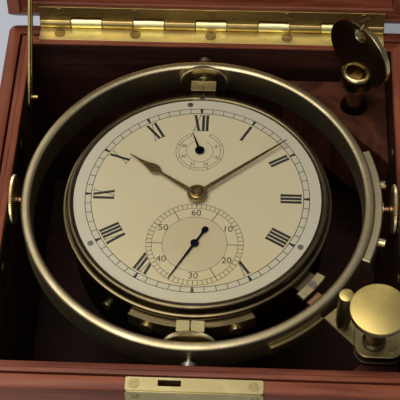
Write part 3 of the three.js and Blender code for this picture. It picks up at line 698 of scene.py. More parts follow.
def make_stud(name, body, node, foot, crown):
    """A stud that the stay hangs on: the radius of its foot and [radius, drop] points down from its top."""
    low, high = box_mm(node)
    centre = middle(node)
    head = high.x - low.x
    profile = [(0, 0), (foot, 0), *[(radius, head - drop) for radius, drop in crown], (0, head)]
    bm = fresh(lathe, profile, facing((1, 0, 0), (low.x, centre.y, centre.z)), 32)
    build(name, bm, body, side_brass, [node])


def make_stay():
    """The slotted bar that holds the lid, drawn flat and turned to stand between its two studs."""
    stay_low, stay_high = box_mm("lid_stay")
    pivot, peg = middle("stay_pivot"), middle("stay_peg")
    run = Vector((0, peg.y - pivot.y, peg.z - pivot.z))
    length = run.length
    radius = math.hypot(pivot.y - hinge_y, pivot.z - hinge_z)
    turn = 2 * math.asin(length / 2 / radius) - math.radians(lid_angle)
    shut = 2 * radius * math.sin(turn / 2)
    width = 8
    slot_width = 3.3
    outline = rounded_rectangle(length + width + 2, width, width / 2 - 0.01, length / 2 + 1, 0, steps=10)
    slot = rounded_rectangle(length - shut + slot_width, slot_width, slot_width / 2 - 0.01,
                             (length + shut) / 2, 0, steps=8)
    along = run.normalized()
    sideways = Vector((1, 0, 0))
    turned = Matrix((along, sideways.cross(along), sideways)).transposed().to_4x4()
    place = placed(0, pivot.y, pivot.z) @ turned
    bm = fresh(plate, outline, stay_low.x, stay_high.x, [slot, circle(1.5, 24)], 0.2, place)
    build("stay_bar", bm, "stay", side_brass, ["lid_stay"])
    make_stud("stay_peg_stud", "box", "stay_peg", 1.25, [(1.25, 0.3), (0.95, 0)])
    crown = [(1.3, 1), (2.7, 1), (2.8, 0.9), (2.8, 0.35), (2.3, 0.05), (1.2, 0)]
    make_stud("stay_pivot_stud", "lid", "stay_pivot", 1.3, crown)


make_stay()


def make_box_lock():
    case_foot = box_mm("box_lock")[0].z
    plate_width, plate_x, plate_y = 54.4, 0.6, -92.5
    bolt_x, bolt_y = -9.1, -92
    slot = rounded_rectangle(9, 2.6, 0.3, bolt_x, bolt_y, 2)
    outline = rounded_rectangle(plate_width, 6, 0.8, plate_x, plate_y)
    bm = fresh(plate, outline, rim - 1.2, rim + 0.12, [slot], 0.1)
    block(bm, (-22.5, -93.8, case_foot), (22.5, -89, rim - 8))
    front = placed(plate_x, -half, rim - 15.2, 90, "X")
    plate(bm, rounded_rectangle(plate_width, 29.6, 1.2), -0.3, 0.5, edge=0.15, matrix=front)
    build("box_lock_case", bm, "box", lock_face_brass, ["box_lock"])
    bm = bmesh.new()
    for number, x in enumerate((-23, 24)):
        cheese_head(bm, 2.1, 0.16, facing((0, 0, 1), (x, plate_y, rim + 0.1), 30 + 70 * number), 0.4, 0.3)
        for up in (-11, 11):
            place = front @ facing((0, 0, 1), (x, up, 0.48), 50 * number + 3 * up)
            cheese_head(bm, 1.9, 0.2, place, 0.4, 0.3)
    build("box_lock_screws", bm, "box", lock_face_brass, smooth=screw_smooth)
    # A black block at the foot of the bolt slot: painted shadow for the dark inside the slot.
    slot_shadow_low, slot_shadow_high = (bolt_x - 4.6, bolt_y - 1.4, rim - 8.1), (bolt_x + 4.6, bolt_y + 1.4, rim - 7.2)
    slot_shadow = fresh(block, slot_shadow_low, slot_shadow_high, edge=0)
    build("box_lock_slot_shadow", slot_shadow, "box", black_ink)
    place = facing((0, -1, 0), (0, -half - 0.3, rim - 18))
    bm = fresh(plate, circle(6, 48), -0.5, 0.7, [circle(1.7, 24, 0, 1.2)], 0.3, place)
    build("keyhole_plate", bm, "box", box_brass)
    shadow = fresh(plate, circle(2.4, 24, 0, 1.2), -0.4, -0.1, edge=0.05, matrix=place)
    build("keyhole_shadow", shadow, "box", black_ink)
    turn = lid_turn()
    outline = rounded_rectangle(44, 5.2, 0.8, 0, bolt_y)
    bm = fresh(plate, outline, lid_rim, lid_rim + 1.3, edge=0.15, matrix=turn)
    hook_side = rounded_rectangle(7.6, 8.2, 1.6, bolt_x, 0, 5)
    stand = turn @ placed(0, bolt_y + 0.9, rim - 2.6, 90, "X")
    plate(bm, hook_side, 0, 1.8, [rounded_rectangle(4.2, 2.6, 0.4, bolt_x, -0.9, 3)], 0.15, stand)
    for x in (-18, 4, 18):
        cheese_head(bm, 1.8, 0.2, turn @ facing((0, 0, -1), (x, bolt_y, lid_rim), 20 * x), 0.45, 0.2)
    build("lid_catch_plate", bm, "lid", box_brass, ["lid_catch"])


make_box_lock()


# ---------- side handles ----------
def swept_rod(bm, points, radius, sides=20):
    """A round bar along points, with flat ends."""
    rings = []
    for index, point in enumerate(points):
        before, after = points[max(index - 1, 0)], points[min(index + 1, len(points) - 1)]
        frame_turn = facing(after - before, point)
        rings.append([bm.verts.new(frame_turn @ Vector((x, y, 0))) for x, y in circle(radius, sides)])
    for low, high in zip(rings, rings[1:]):
        for index in range(sides):
            shift = min(range(sides), key=lambda k: (high[k].co - low[0].co).length)
            a, b = index, (index + 1) % sides
            bm.faces.new((low[a], low[b], high[(b + shift) % sides], high[(a + shift) % sides]))
    bm.faces.new(rings[0])
    bm.faces.new(rings[-1])


def make_handle(word):
    low, high = box_mm("handle_" + word)
    plate_low, plate_high = box_mm("handle_plate_" + word)
    side = 1 if high.x > 0 else -1
    pivot_x, _, pivot_z = joint_mm("handle_" + word + "_swing")
    reach = 28.2
    rod_radius = 2.4
    bend = 9
    bottom = low.z + rod_radius
    face = side * half
    outline = rounded_rectangle(18, plate_high.y - plate_low.y, 4, 0, 0, 8)
    bm = fresh(plate, outline, 0, 1.9, edge=0.4, matrix=placed(face + side * 0.1, 0, pivot_z, side * 90, "Y"))
    ear = arc(4.5, -90, 90, 14, 5.1) + [(0, 4.5), (0, -4.5)]
    for end in (-1, 1):
        lug = placed(face, end * 34 + 3, pivot_z, 90, "X") @ Matrix.Diagonal((side, 1, 1, 1))
        plate(bm, ear, 0, 6, [circle(1.75, 24, 5.2)], 0.3, lug)
    build("handle_back_" + word, bm, "box", side_brass, ["handle_plate_" + word])
    places = [facing((side, 0, 0), (face + side * 2, end * 26, pivot_z + z), 31 * z + 40 * end)
              for end in (-1, 1) for z in (-5.2, 5.2)]
    screws("handle_screws_" + word, "box", screw_brass, (2.3, 0.35, 0.55, 0.3), places)
    run = [(-reach, pivot_z + 3), (-reach, bottom + bend)]
    run += [(-y, z) for y, z in arc(bend, 0, -90, 12, reach - bend, bottom + bend)[1:]]
    run += [(-y, z) for y, z in arc(bend, -90, -180, 12, -reach + bend, bottom + bend)]
    run += [(reach, pivot_z + 3)]
    bm = fresh(swept_rod, [Vector((pivot_x, y, z)) for y, z in run], rod_radius)
    for end in (-1, 1):
        pin_at = facing((0, end, 0), (pivot_x, end * (reach - 1), pivot_z))
        lathe(bm, [(0, 0), (1.5, 0), (1.5, 9.6), (1.2, 10), (0, 10)], pin_at, 24)
        knob = [(0, 0), (2.9, 0.2), (3.1, 1.0), (2.9, 1.9), (0, 2.1)]
        lathe(bm, knob, facing((0, end, 0), (pivot_x, end * (reach - 1.05), pivot_z)), 32)
    build("handle_bail_" + word, bm, "handle_" + word, side_brass, ["handle_" + word])


make_handle("left")
make_handle("right")


# ---------- gimbal supports, ring and its fittings ----------
def knurled_nut(name, node, body, matrix):
    """A round nut with a knurled rim, its centre bored for the screw."""
    thickness, radius, teeth = 1.8, 11.0, 84

    def wave(reach, height, index):
        milled = reach > radius - 0.3 and 0.2 < height < thickness - 0.2
        return reach - 0.32 * (index % 2) if milled else reach

    profile = [(hole_radius, 0), (radius - 0.7, 0), (radius - 0.1, 0.35), (radius, 0.45)]
    profile += [(reach, thickness - drop) for reach, drop in (
        (radius, 0.45), (radius - 0.1, 0.35), (radius - 0.7, 0), (radius - 3.2, 0), (radius - 3.5, 0.25),
        (hole_radius + 2, 0.25), (hole_radius + 1.6, 0), (hole_radius, 0))]
    bm = fresh(lathe, profile, matrix, 2 * teeth, wave)
    build(name, bm, body, pale_brass, [node], smooth=24)


def make_side_support(word):
    """The wall bracket, nut and pivot screw that carry the ring at one side of the case."""
    side = 1 if word == "right" else -1
    wall_x = side * inner
    stand = placed(wall_x + side * 1.0, gimbal.y, gimbal.z - 3.5, -side * 90, "Y")
    bm = fresh(plate, rounded_rectangle(17, 76, 2, 0, 0), 0, 1.2, edge=0.2, matrix=stand)
    # The brass bracket takes the near-black bowl brass: painted shade for its place in the dark of the case.
    build("wall_bracket_" + word, bm, "box", bowl_brass, ["gimbal_bracket_" + word])
    places = [facing((-side, 0, 0), (wall_x - side * 0.15, gimbal.y + y, gimbal.z - 3), 60 + 50 * number)
              for number, y in enumerate((-33, 33))]
    screws("wall_bracket_screws_" + word, "box", box_brass, (2.4, 0.3, 0.55, 0.3), places)
    nut_low, nut_high = box_mm("gimbal_nut_" + word)
    nut_at = facing((-side, 0, 0), (nut_high.x if side > 0 else nut_low.x, gimbal.y, gimbal.z))
    knurled_nut("side_nut_" + word, "gimbal_nut_" + word, "box", nut_at)
    screw_low, screw_high = box_mm("gimbal_screw_" + word)
    outer_end = wall_x - side * 0.3
    length = abs(outer_end - (screw_low.x if side > 0 else screw_high.x))
    profile = [(0, 0), (2, 0), (2, 2.6), (1.5, 3), (1.5, length - 1.8), (0.8, length - 0.4), (0, length)]
    bm = fresh(lathe, profile, facing((-side, 0, 0), (outer_end, gimbal.y, gimbal.z)), 32)
    build("side_pivot_" + word, bm, "box", copper, ["gimbal_screw_" + word])


def make_ring():
    ring_width = 4.2
    height = box_mm("gimbal_ring")[1].z - gimbal.z
    crown = [(2.1, 1.1), (2.0, 0.7), (1.7, 0.36), (1.2, 0.14), (0.6, 0.03), (0, 0)]
    crown = [(-side, drop) for side, drop in crown] + [(side, drop) for side, drop in reversed(crown[:-1])]
    centre = ring_outer - ring_width / 2
    section = [(centre + side, height - drop) for side, drop in crown]
    section += [(centre - side, -height + drop) for side, drop in crown]
    hoop = fresh(lathe, section, at_gimbal(), 224)
    build("gimbal_hoop", hoop, "ring", ring_brass, ["gimbal_ring"])
    bm = on_gimbal(sector(ring_outer + 0.05, ring_outer + 3.6, -23, 20.4, 40), -6, 6, 0.45)
    lathe(bm, [(0, 0), (3.2, 0), (3.4, 0.2), (3.4, 0.7), (0, 0.7)],
          facing((1, 0, 0), (gimbal.x + ring_outer + 3.5, gimbal.y, gimbal.z)), 40)
    build("hoop_side_plate", bm, "ring", ring_brass, ["ring_side_plate"])
    places = [facing(outward(degrees), gimbal + outward(degrees) * (ring_outer + 3.5), 90 + 2 * degrees)
              for degrees in (-12.6, 9)]
    screws("hoop_side_screws", "ring", pale_brass, (2.3, 3.1, 0.7, 0.2), places)
    bm = on_gimbal(sector(ring_outer + 0.05, ring_outer + 1.7, -65, -45.5, 24), -5, 0.4)
    build("hoop_lock_strip", bm, "ring", boss_brass, ["ring_lock_strip"])
    bm = on_gimbal(sector(67.3, ring_outer - ring_width - 0.05, -45.5, -39.6, 12), -5.5, 0.8)
    build("hoop_lock_pad", bm, "ring", copper, ["ring_lock_pad"])


for word in ("left", "right"):
    make_side_support(word)
make_ring()


def make_bowl_pivot(word, side):
    """The nut, the pivot screw and the carrier at 12 o'clock (side 1) or 6 o'clock (side -1)."""
    turn = 90 - 90 * side
    nut_low, nut_high = box_mm("bowl_nut_" + word)
    face_y = nut_high.y if side > 0 else nut_low.y
    knurled_nut("hoop_nut_" + word, "bowl_nut_" + word, "ring",
                facing((0, -side, 0), (gimbal.x, face_y, gimbal.z)))
    tip, start = 63, ring_outer + 3.1
    reach = start - tip
    profile = [(0, 0), (1.2, 0), (2, 0.9)]
    profile += [(radius, reach + beyond) for radius, beyond in ((2, -3), (1.6, -2.6), (1.6, 0.5), (0, 0.5))]
    bm = fresh(lathe, profile, facing((0, side, 0), (gimbal.x, gimbal.y + side * tip, gimbal.z)), 32)
    head = facing((0, side, 0), (gimbal.x, gimbal.y + side * start, gimbal.z), 12)
    cheese_head(bm, 3.7, 2.4, head, 0.9)
    build("hoop_pivot_" + word, bm, "ring", screw_steel, ["bowl_screw_" + word], smooth=screw_smooth)
    bm = fresh(plate, sector(57.1, 61.2, 64.5, 115.5, 36), -9, -0.3, edge=0.35)
    boss_outline = arc(5.7, -180, 0, 36) + [(5.7, 4.8), (-5.7, 4.8)]
    plate(bm, boss_outline, 0, 5.9, edge=0.35, matrix=placed(0, 66.3, 0, 90, "X"))
    slit = fresh(block, (-0.35, 55, 0.6), (0.35, 70, 9), edge=0)
    bore = fresh(lathe, rod(hole_radius, 0, 4.5), facing((0, 1, 0), (0, 62.2, 0)), 48)
    bm = carve(bm, slit, bore)
    paint(bm.faces, lambda centre: int(math.hypot(centre.x, centre.y) > 60.95))
    moved(bm, bm.verts, at_gimbal(turn))
    metals = [bezel_brass, boss_brass]
    build("bowl_bearing_" + word, bm, "bowl", metals, ["bowl_carrier_" + word])
    places = []
    for sign in (-1, 1):
        out = outward(90 + turn + sign * 17.6)
        places.append(facing(out, gimbal + Vector((0, 0, -5.6)) + out * 61, 20 + 65 * sign))
    screws("bowl_bearing_screws_" + word, "bowl", pale_brass, (2.9, 1.5, 0.7, 0.3), places)


make_bowl_pivot("12", 1)
make_bowl_pivot("6", -1)


# ---------- bowl, bezel and crystal ----------
def make_bowl():
    """The shell, rounded below its collar, with a hole for the winding key."""
    radius = bezel_outer - 2.7
    depth = box_mm("bowl")[1].z - box_mm("bowl")[0].z
    foot, bend, shoulder, thickness = 28, -30, 23, 2
    collar = radius + 1.3
    outside = [(0, -depth), (foot - 1.5, -depth), (foot, -depth + 0.3)]
    outside += [(foot + (radius - foot) * math.sin(a), bend - shoulder * math.cos(a))
                for a in [math.pi / 2 * step / 14 for step in range(1, 15)]]
    outside += [(radius, -11.4), (collar - 0.3, -11.2), (collar, -10.8), (collar, -0.3), (collar - 0.3, 0)]
    inside = [(radius - thickness, 0), (radius - thickness, bend)]
    inside += [(foot - thickness + (radius - foot) * math.cos(a), bend - (shoulder - thickness) * math.sin(a))
               for a in [math.pi / 2 * step / 8 for step in range(1, 9)]]
    inside += [(0, -depth + thickness)]
    key_hole = middle("fusee") - gimbal
    hole = fresh(lathe, rod(4.5, 0, 6), placed(key_hole.x, key_hole.y, -depth - 2), 48)
    bm = carve(fresh(lathe, outside + inside, None, 160), hole)
    moved(bm, bm.verts, at_gimbal())
    build("bowl_shell", bm, "bowl", bowl_brass, ["bowl"])
    below = gimbal + Vector((0, 0, -14))
    places = [facing(outward(degrees), below + outward(degrees) * radius, degrees) for degrees in (-130, 130)]
    screws("bowl_flank_screws", "bowl", pale_brass, (2.3, 2.6, 0.6, 0.4), places)


def make_bezel():
    seat = dial_radius + 0.35
    flange = [(bezel_outer - inset, height) for inset, height in (
        (0.3, 0.3), (0, 0.7), (0, 2.1), (0.35, 2.6), (1.1, 2.75))]
    upstand = [(57.0, 2.6), (56.8, 2.2), (56.4, 2.2), (56.25, 2.7), (56.25, 5.7), (56.1, 6.2), (55.6, 6.55),
               (54.6, 6.6), (54.2, 6.4), (seat + 0.25, 6.25), (seat, 5.9)]
    bm = fresh(lathe, [(seat, 0.3), *flange, *upstand], at_gimbal(), 200)
    build("bezel_rim", bm, "bowl", bezel_brass, ["bezel"], smooth=40)
    # Black sheets on the bezel at 12 and 6: painted shade where the bezel has its notches.
    bm = on_gimbal(sector(54.1, 56.2, 88.8, 91.3, 4), 5.6, 6.63, 0.05)
    plate(bm, sector(seat + 0.1, 54.9, 267, 273, 6), 5.6, 6.63, edge=0.05, matrix=at_gimbal())
    build("bezel_notch_shade", bm, "bowl", black_ink)


def make_crystal():
    low, high = box_mm("crystal")
    radius = radius_of("crystal")
    base = low.z - gimbal.z
    rise = high.z - low.z
    edge = 0.8
    angles = [math.pi / 2 * step / 14 for step in range(14)]
    outside = [(radius * math.cos(a), base + edge + (rise - edge) * math.sin(a) ** 0.75) for a in angles]
    inside = [((radius - 1.1) * math.cos(a), base + (rise - edge) * math.sin(a) ** 0.75) for a in angles]
    dome = [(0, base + rise - edge), *reversed(inside[1:]), (radius, base), *outside, (0, base + rise)]
    build("crystal_dome", fresh(lathe, dome, at_gimbal(), 120), "bowl", crystal_glass, ["crystal"])


def make_catch():
    """The lug on the bowl that the gimbal lock holds, its arm and its screw."""
    bm = on_gimbal(sector(60.9, 65.2, -45, -32, 18), -3, -0.6, 0.3)
    build("bowl_catch_lug", bm, "bowl", pale_brass, ["bowl_lock_lug"])
    bm = on_gimbal(sector(57.1, 61.1, -43.5, -33.5, 14), -2.9, -0.9, 0.2)
    build("bowl_catch_arm", bm, "bowl", bezel_brass)
    place = facing((0, 0, 1), gimbal + Vector((0, 0, -0.62)) + outward(-38) * 63, 20)
    screws("bowl_catch_screw", "bowl", screw_steel, (1.9, 0.35, 0.5, 0.3), [place])


make_bowl()
make_bezel()
make_crystal()
make_catch()


def make_winding_cover():
    low, high = box_mm("winding_cover")
    centre = middle("winding_cover")
    pivot_x, pivot_y = joint_mm("winding_cover")[:2]
    outline = rounded_rectangle(high.x - low.x, high.y - low.y, 5.9, centre.x, centre.y, 12)
    bm = fresh(plate, outline, low.z, high.z, edge=0.35)
    cheese_head(bm, 2.6, 0.9, facing((0, 0, -1), (pivot_x, pivot_y, low.z + 0.1), 30), 0.6, 0.2)
    thumb = Matrix.Translation((low.x + 3.5, pivot_y, low.z + 0.1))
    lathe(bm, [(0, 0), (1.8, 0), (1.6, -0.9), (0, -1)], thumb, 28)
    build("winding_shutter", bm, "cover", bezel_brass, ["winding_cover"])


make_winding_cover()


# ---------- dial ----------
dial_z = dial_top - gimbal.z
seconds_y = seconds_centre.y - gimbal.y
reserve_x, reserve_pivot_y = joint_mm("reserve")[:2]
reserve_y = reserve_pivot_y - gimbal.y
PRINT = 0.03


def dial_point(y, angle, reach, aside=0):
    """A point at a distance from 0, y towards a clockwise angle from 12, and aside to the clockwise hand."""
    a = math.radians(angle)
    return (reach * math.sin(a) + aside * math.cos(a), y + reach * math.cos(a) - aside * math.sin(a))


def stroke(bm, points, lift=0.0):
    if signed_area(points) < 0:
        points = points[::-1]
    plate(bm, points, dial_z + lift - 0.01, dial_z + lift + PRINT, edge=0, matrix=at_gimbal())


def tick(bm, y, angle, inside, outside, width, lift=0.0, outer_width=None):
    """A printed line along a radius, wider at its outer end if so asked."""
    near, far = width / 2, (outer_width or width) / 2
    corners = [(inside, -near), (outside, -far), (outside, far), (inside, near)]
    stroke(bm, [dial_point(y, angle, reach, aside) for reach, aside in corners], lift)


def line_ring(bm, y, radius, width, lift=0.0, start=0.0, end=360.0):
    """A printed circle, or a stretch of one between two clockwise angles."""
    outer, inside = radius + width / 2, radius - width / 2
    if end - start >= 360:
        plate(bm, circle(outer, 160, 0, y), dial_z + lift - 0.01, dial_z + lift + PRINT,
              [circle(inside, 160, 0, y)], 0, at_gimbal())
        return
    outline = arc(outer, 90 - start, 90 - end, 60, 0, y) + arc(inside, 90 - end, 90 - start, 60, 0, y)
    stroke(bm, outline, lift)


numeral_bottom = 35.8
numeral_height = 9.0
THICK = 1.25
THIN = 0.27
SERIF = 0.3
GLYPH_WIDTH = {"I": 1.75, "V": 3.5, "X": 3.7}


def glyph(letter, left):
    """The strokes of one Roman letter as [aside, height] outlines, starting at a left edge."""
    right = left + GLYPH_WIDTH[letter]
    centre = (left + right) / 2
    high = numeral_height - SERIF

    def serif(start, end, low):
        return [(start, low), (end, low), (end, low + SERIF), (start, low + SERIF)]

    def stem(upper, lower, width):
        ends = [(upper - width / 2, numeral_height), (upper + width / 2, numeral_height)]
        return [*ends, (lower + width / 2, 0), (lower - width / 2, 0)]

    if letter == "I":
        ends = left + 0.05, right - 0.05
        return [stem(centre, centre, THICK), serif(*ends, 0), serif(*ends, high)]
    heavy_foot = centre if letter == "V" else right - 0.35 - THICK / 2
    light_foot = centre + 0.15 if letter == "V" else left + 0.5
    strokes = [stem(left + 0.3 + THICK / 2, heavy_foot, THICK), serif(left - 0.05, left + 1.75, high),
               stem(right - 0.35 - THIN / 2, light_foot, THIN), serif(right - 1.15, right + 0.1, high)]
    if letter == "X":
        strokes += [serif(left - 0.05, left + 1.1, 0), serif(right - 1.75, right + 0.05, 0)]
    return strokes


def make_numerals():
    words = {1: "I", 2: "II", 3: "III", 4: "IIII", 5: "V", 7: "VII", 8: "VIII", 9: "IX", 10: "X", 11: "XI",
             12: "XII"}
    bm = bmesh.new()
    for hour, word in words.items():
        left = -sum(GLYPH_WIDTH[letter] for letter in word) / 2
        for letter in word:
            for outline in glyph(letter, left):
                stroke(bm, [dial_point(0, 30 * hour, numeral_bottom + v, u) for u, v in outline])
            left += GLYPH_WIDTH[letter]
    build("hour_numerals", bm, "bowl", black_ink)


def number(bm, text, x, y, size, lift=0.0):
    """A small printed number, centred on a place on the dial."""
    curve = bpy.data.curves.new("number", "FONT")
    curve.body = text
    curve.size = size
    curve.align_x = "CENTER"
    curve.align_y = "CENTER"
    curve.extrude = PRINT / 2
    curve.resolution_u = 4
    thing = bpy.data.objects.new("number", curve)
    bpy.context.scene.collection.objects.link(thing)
    bpy.context.view_layer.update()
    mesh = bpy.data.meshes.new_from_object(thing)
    before = len(bm.verts)
    bm.from_mesh(mesh)
    bm.verts.ensure_lookup_table()
    place = at_gimbal() @ Matrix.Translation((x, y, dial_z + lift + PRINT / 2))
    moved(bm, bm.verts[before:], place)
    bpy.data.objects.remove(thing)
    bpy.data.meshes.remove(mesh)


def make_dial():
    """The silvered plates one above the other, what is printed on them, and the screws."""
    hub, seconds_hole = circle(2.6, 32), circle(1.1, 20, 0, seconds_y)
    reserve_hole = circle(1.1, 20, 0, reserve_y)
    bm = on_gimbal(circle(dial_radius, 160), dial_z - 1.2, dial_z, 0.05, [hub, seconds_hole, reserve_hole])
    build("dial_plate", bm, "bowl", dial_edge, ["dial"])
    track_in, track_out = 45.7, 48.3
    lift = 0.045
    seconds_room = circle(20.4, 80, 0, seconds_y)
    layers = [
        ("dial_middle", circle(track_in, 140), 0.012, 0.005, [hub, seconds_room, reserve_hole], dial_face),
        ("seconds_plate", circle(20.7, 96, 0, seconds_y), lift, 0.01, [seconds_hole], dial_face),
        ("seconds_well", circle(13.5, 80, 0, seconds_y), 0.07, 0.01, [seconds_hole], seconds_face),
    ]
    for name, outline, rise, edge, holes, material in layers:
        bm = on_gimbal(outline, dial_z - 0.3, dial_z + rise, edge, holes)
        build(name, bm, "bowl", material)

    bm = bmesh.new()
    line_ring(bm, 0, track_out, 0.28)
    line_ring(bm, 0, track_in, 0.3)
    for minute in range(60):
        width, outer_width = (0.3, 0.3) if minute % 5 else (0.7, 1.5)
        tick(bm, 0, 6 * minute, track_in, track_out, width, 0, outer_width)
    build("minute_track", bm, "bowl", black_ink)
    make_numerals()

    seconds_rings = 13.7, 18.2, 20.5
    bm = bmesh.new()
    for radius in seconds_rings:
        line_ring(bm, seconds_y, radius, 0.18, lift)
    for second in range(60):
        inside = seconds_rings[0] if second % 10 == 5 else seconds_rings[1]
        width = 0.24 if second % 5 else 0.32
        tick(bm, seconds_y, 6 * second, inside, seconds_rings[2], width, lift)
    for tens in range(1, 7):
        number(bm, str(10 * tens), *dial_point(seconds_y, 60 * tens, 15.8), 4.4, lift)
    build("seconds_scale", bm, "bowl", soft_ink)

    first, last, hours = 25, 335, 56
    bm = bmesh.new()
    for radius, width in ((10.5, 0.2), (9.2, 0.2), (5.9, 0.18)):
        line_ring(bm, reserve_y, radius, width, 0, first, last)
    for hour in range(0, hours + 1, 8):
        angle = first + (last - first) * hour / hours
        tick(bm, reserve_y, angle, 9.1, 10.6, 0.28)
        if hour % hours:
            number(bm, str(hour), *dial_point(reserve_y, angle, 7.6), 2.3)
    build("reserve_scale", bm, "bowl", soft_ink)

    top = Vector((gimbal.x, gimbal.y, dial_top))
    places = [facing((0, 0, 1), top + outward(angle) * 50.8, 35 + 50 * order)
              for order, angle in enumerate((96.1, 210.3, 330.9))]
    screws("dial_screws", "bowl", screw_steel, (1.25, 0.35, 0.35, 0.2), places)


make_dial()


# ---------- hands ----------
def pointing(node, x, y):
    """The clockwise angle from 12 towards which a hand's far end points."""
    points = [vert.co / MM for vert in frame["nodes"][node].data.vertices]
    far = max(points, key=lambda point: math.hypot(point.x - x, point.y - y))
    return math.degrees(math.atan2(far.x - x, far.y - y))


def smooth_outline(stations, steps=4):
    """A hand's outline through [distance, width] stations, both sides, on a smooth curve."""
    fine = []
    count = len(stations)
    for index in range(count - 1):
        p = [stations[max(0, min(count - 1, index + k))] for k in (-1, 0, 1, 2)]
        for step in range(steps):
            t = step / steps
            pair = []
            for axis in (0, 1):
                a, b, c, d = (point[axis] for point in p)
                pair.append(0.5 * (2 * b + (c - a) * t + (2 * a - 5 * b + 4 * c - d) * t ** 2
                                   + (3 * b - a - 3 * c + d) * t ** 3))
            fine.append(pair)
    fine.append(list(stations[-1]))
    right = [(max(0.12, w) / 2, y) for y, w in fine]
    return right + [(-x, y) for x, y in reversed(right)]


def make_hand(name, node, body, material, x, y, stations, z0, z1, hub, turned):
    """A hand at its CAD height; hub is its boss's radius and turned its pipe as [radius, height] points."""
    turn = placed(x, y, 0, -pointing(node, x, y))
    bm = fresh(plate, smooth_outline(stations), z0, z1, edge=min(0.12, (z1 - z0) / 3), matrix=turn)
    boss = [(0, z0 - 0.05), (hub, z0 - 0.05), (hub, z1 + 0.05), (hub - 0.2, z1 + 0.2), (0, z1 + 0.2)]
    lathe(bm, boss, turn, 40)
    lathe(bm, turned, turn, 40)
    build(name, bm, body, material, [node])


hour_z = box_mm("hour_hand")[1].z
minute_z = gimbal.z + 8.9
second_z = box_mm("second_hand")[1].z
cap_top = box_mm("minute_hand")[1].z
pear = [(-2, 2.6), (3, 2.2), (10, 1.6), (16, 1.15), (19.8, 1.3), (21.2, 3.4), (23.4, 4.6), (26, 3.3),
        (29, 1.7), (32, 0.9), (37, 0.3)]
make_hand("hour_pointer", "hour_hand", "hours", gold, gimbal.x, gimbal.y, pear,
          hour_z - 0.45, hour_z, 4, rod(2.4, hour_z - 3, hour_z - 0.1))
long_hand = [(-3, 1.8), (4, 1.9), (14, 1.7), (30, 1.35), (42, 0.9), (48.8, 0.3)]
cap = [(0, minute_z - 0.1), (3.0, minute_z - 0.1), (3.0, minute_z + 0.35), (2.1, minute_z + 0.5),
       (2.0, cap_top - 0.3), (1.6, cap_top), (0, cap_top)]
make_hand("minute_pointer", "minute_hand", "minutes", gold, gimbal.x, gimbal.y, long_hand,
          minute_z - 0.4, minute_z, 4.3, cap)
slim = [(-9.6, 1.2), (-9.0, 2.4), (-7.6, 2.6), (-6.0, 1.2), (-4, 0.8), (0, 1.1), (10, 0.8), (20.3, 0.25)]
make_hand("seconds_pointer", "second_hand", "seconds", blued, gimbal.x, gimbal.y + seconds_y,
          slim, second_z - 0.3, second_z, 1.8, rod(0.8, second_z - 3, second_z))
short = [(-1.2, 0.8), (0, 1.2), (3, 1.0), (7, 0.6), (10.6, 0.25)]
make_hand("reserve_pointer", "reserve_hand", "reserve", blued, reserve_x, reserve_pivot_y,
          short, second_z - 0.3, second_z, 2.1, rod(0.9, second_z - 3, second_z))


# ---------- gimbal lock ----------
def make_lock():
    low, high = box_mm("lock_base")
    centre = middle("lock_base")
    hole = circle(2.4, 32, lock_x, lock_y)
    outline = rounded_rectangle(high.x - low.x, high.y - low.y, 5.7, centre.x, centre.y, 12)
    bm = fresh(plate, outline, high.z - 2, high.z, [hole], 0.35)
    plate(bm, outline, low.z, low.z + 2.7, [hole], 0.35)
    shade_below(bm, high.z - 0.2)
    block(bm, (high.x - 2.4, lock_y, low.z + 1.5), (high.x - 0.2, lock_y + 6, high.z - 1))
    build("lock_bracket", bm, "box", [lock_plate_brass, lock_shadow], ["lock_base"])
    places = [facing((0, 0, 1), (high.x - 4, y, high.z - 0.1), 40 + 60 * number)
              for number, y in enumerate((low.y + 3.6, high.y - 3.6))]
    screws("lock_bracket_screws", "box", screw_brass, (1.9, 0.45, 0.5, 0.2), places)

    bar_low, bar_high = box_mm("lock_bar")
    width, length = 12, 22.1
    outline = [(-length, -width / 2), *arc(width / 2, -90, 90, 24), (-length, width / 2)]
    bar_at = placed(lock_x, lock_y, 0, -46.2)
    bm = fresh(plate, outline, bar_low.z, bar_high.z, [circle(2.3, 32)], 0.3, bar_at)
    build("lock_lever", bm, "lever", lock_plate_brass, ["lock_bar"])

    stud = middle("lock_stud")
    foot, top = [corner.z for corner in box_mm("lock_stud")]
    profile = [(0, foot), (2.5, foot), (2.5, foot + 3), (3, foot + 3.4), (3, top - 0.5), (2.85, top - 0.15),
               (2.5, top), (0, top)]
    bm = fresh(lathe, profile, placed(stud.x, stud.y, 0), 48)
    shade_below(bm, top - 0.5)
    build("lock_pillar", bm, "lever", [lock_brass, lock_shadow], ["lock_stud"])

    knob_low, knob_high = box_mm("lock_knob")
    radius = radius_of("lock_knob")
    top = knob_high.z
    neck = [(2.2, -0.6), (4.6, -0.6), (4.8, -0.4), (4.6, 0.4), (3.7, 1.2), (3.3, 5), (3.5, 10), (4.2, 14.5),
            (5.8, 18), (8, 20.2), (9.6, 21.0), (radius - 0.4, 21.4), (radius, 21.9)]
    profile = [(0, knob_low.z), (2.2, knob_low.z), *[(reach, rim + rise) for reach, rise in neck],
               (radius, top - 0.6), (radius - 0.2, top - 0.15), (radius - 0.6, top), (0, top)]
    bm = fresh(lathe, profile, placed(lock_x, lock_y, 0), 120)
    shade_below(bm, top - 0.5)
    build("lock_button", bm, "lever", [lock_brass, lock_shadow], ["lock_knob"])


make_lock()


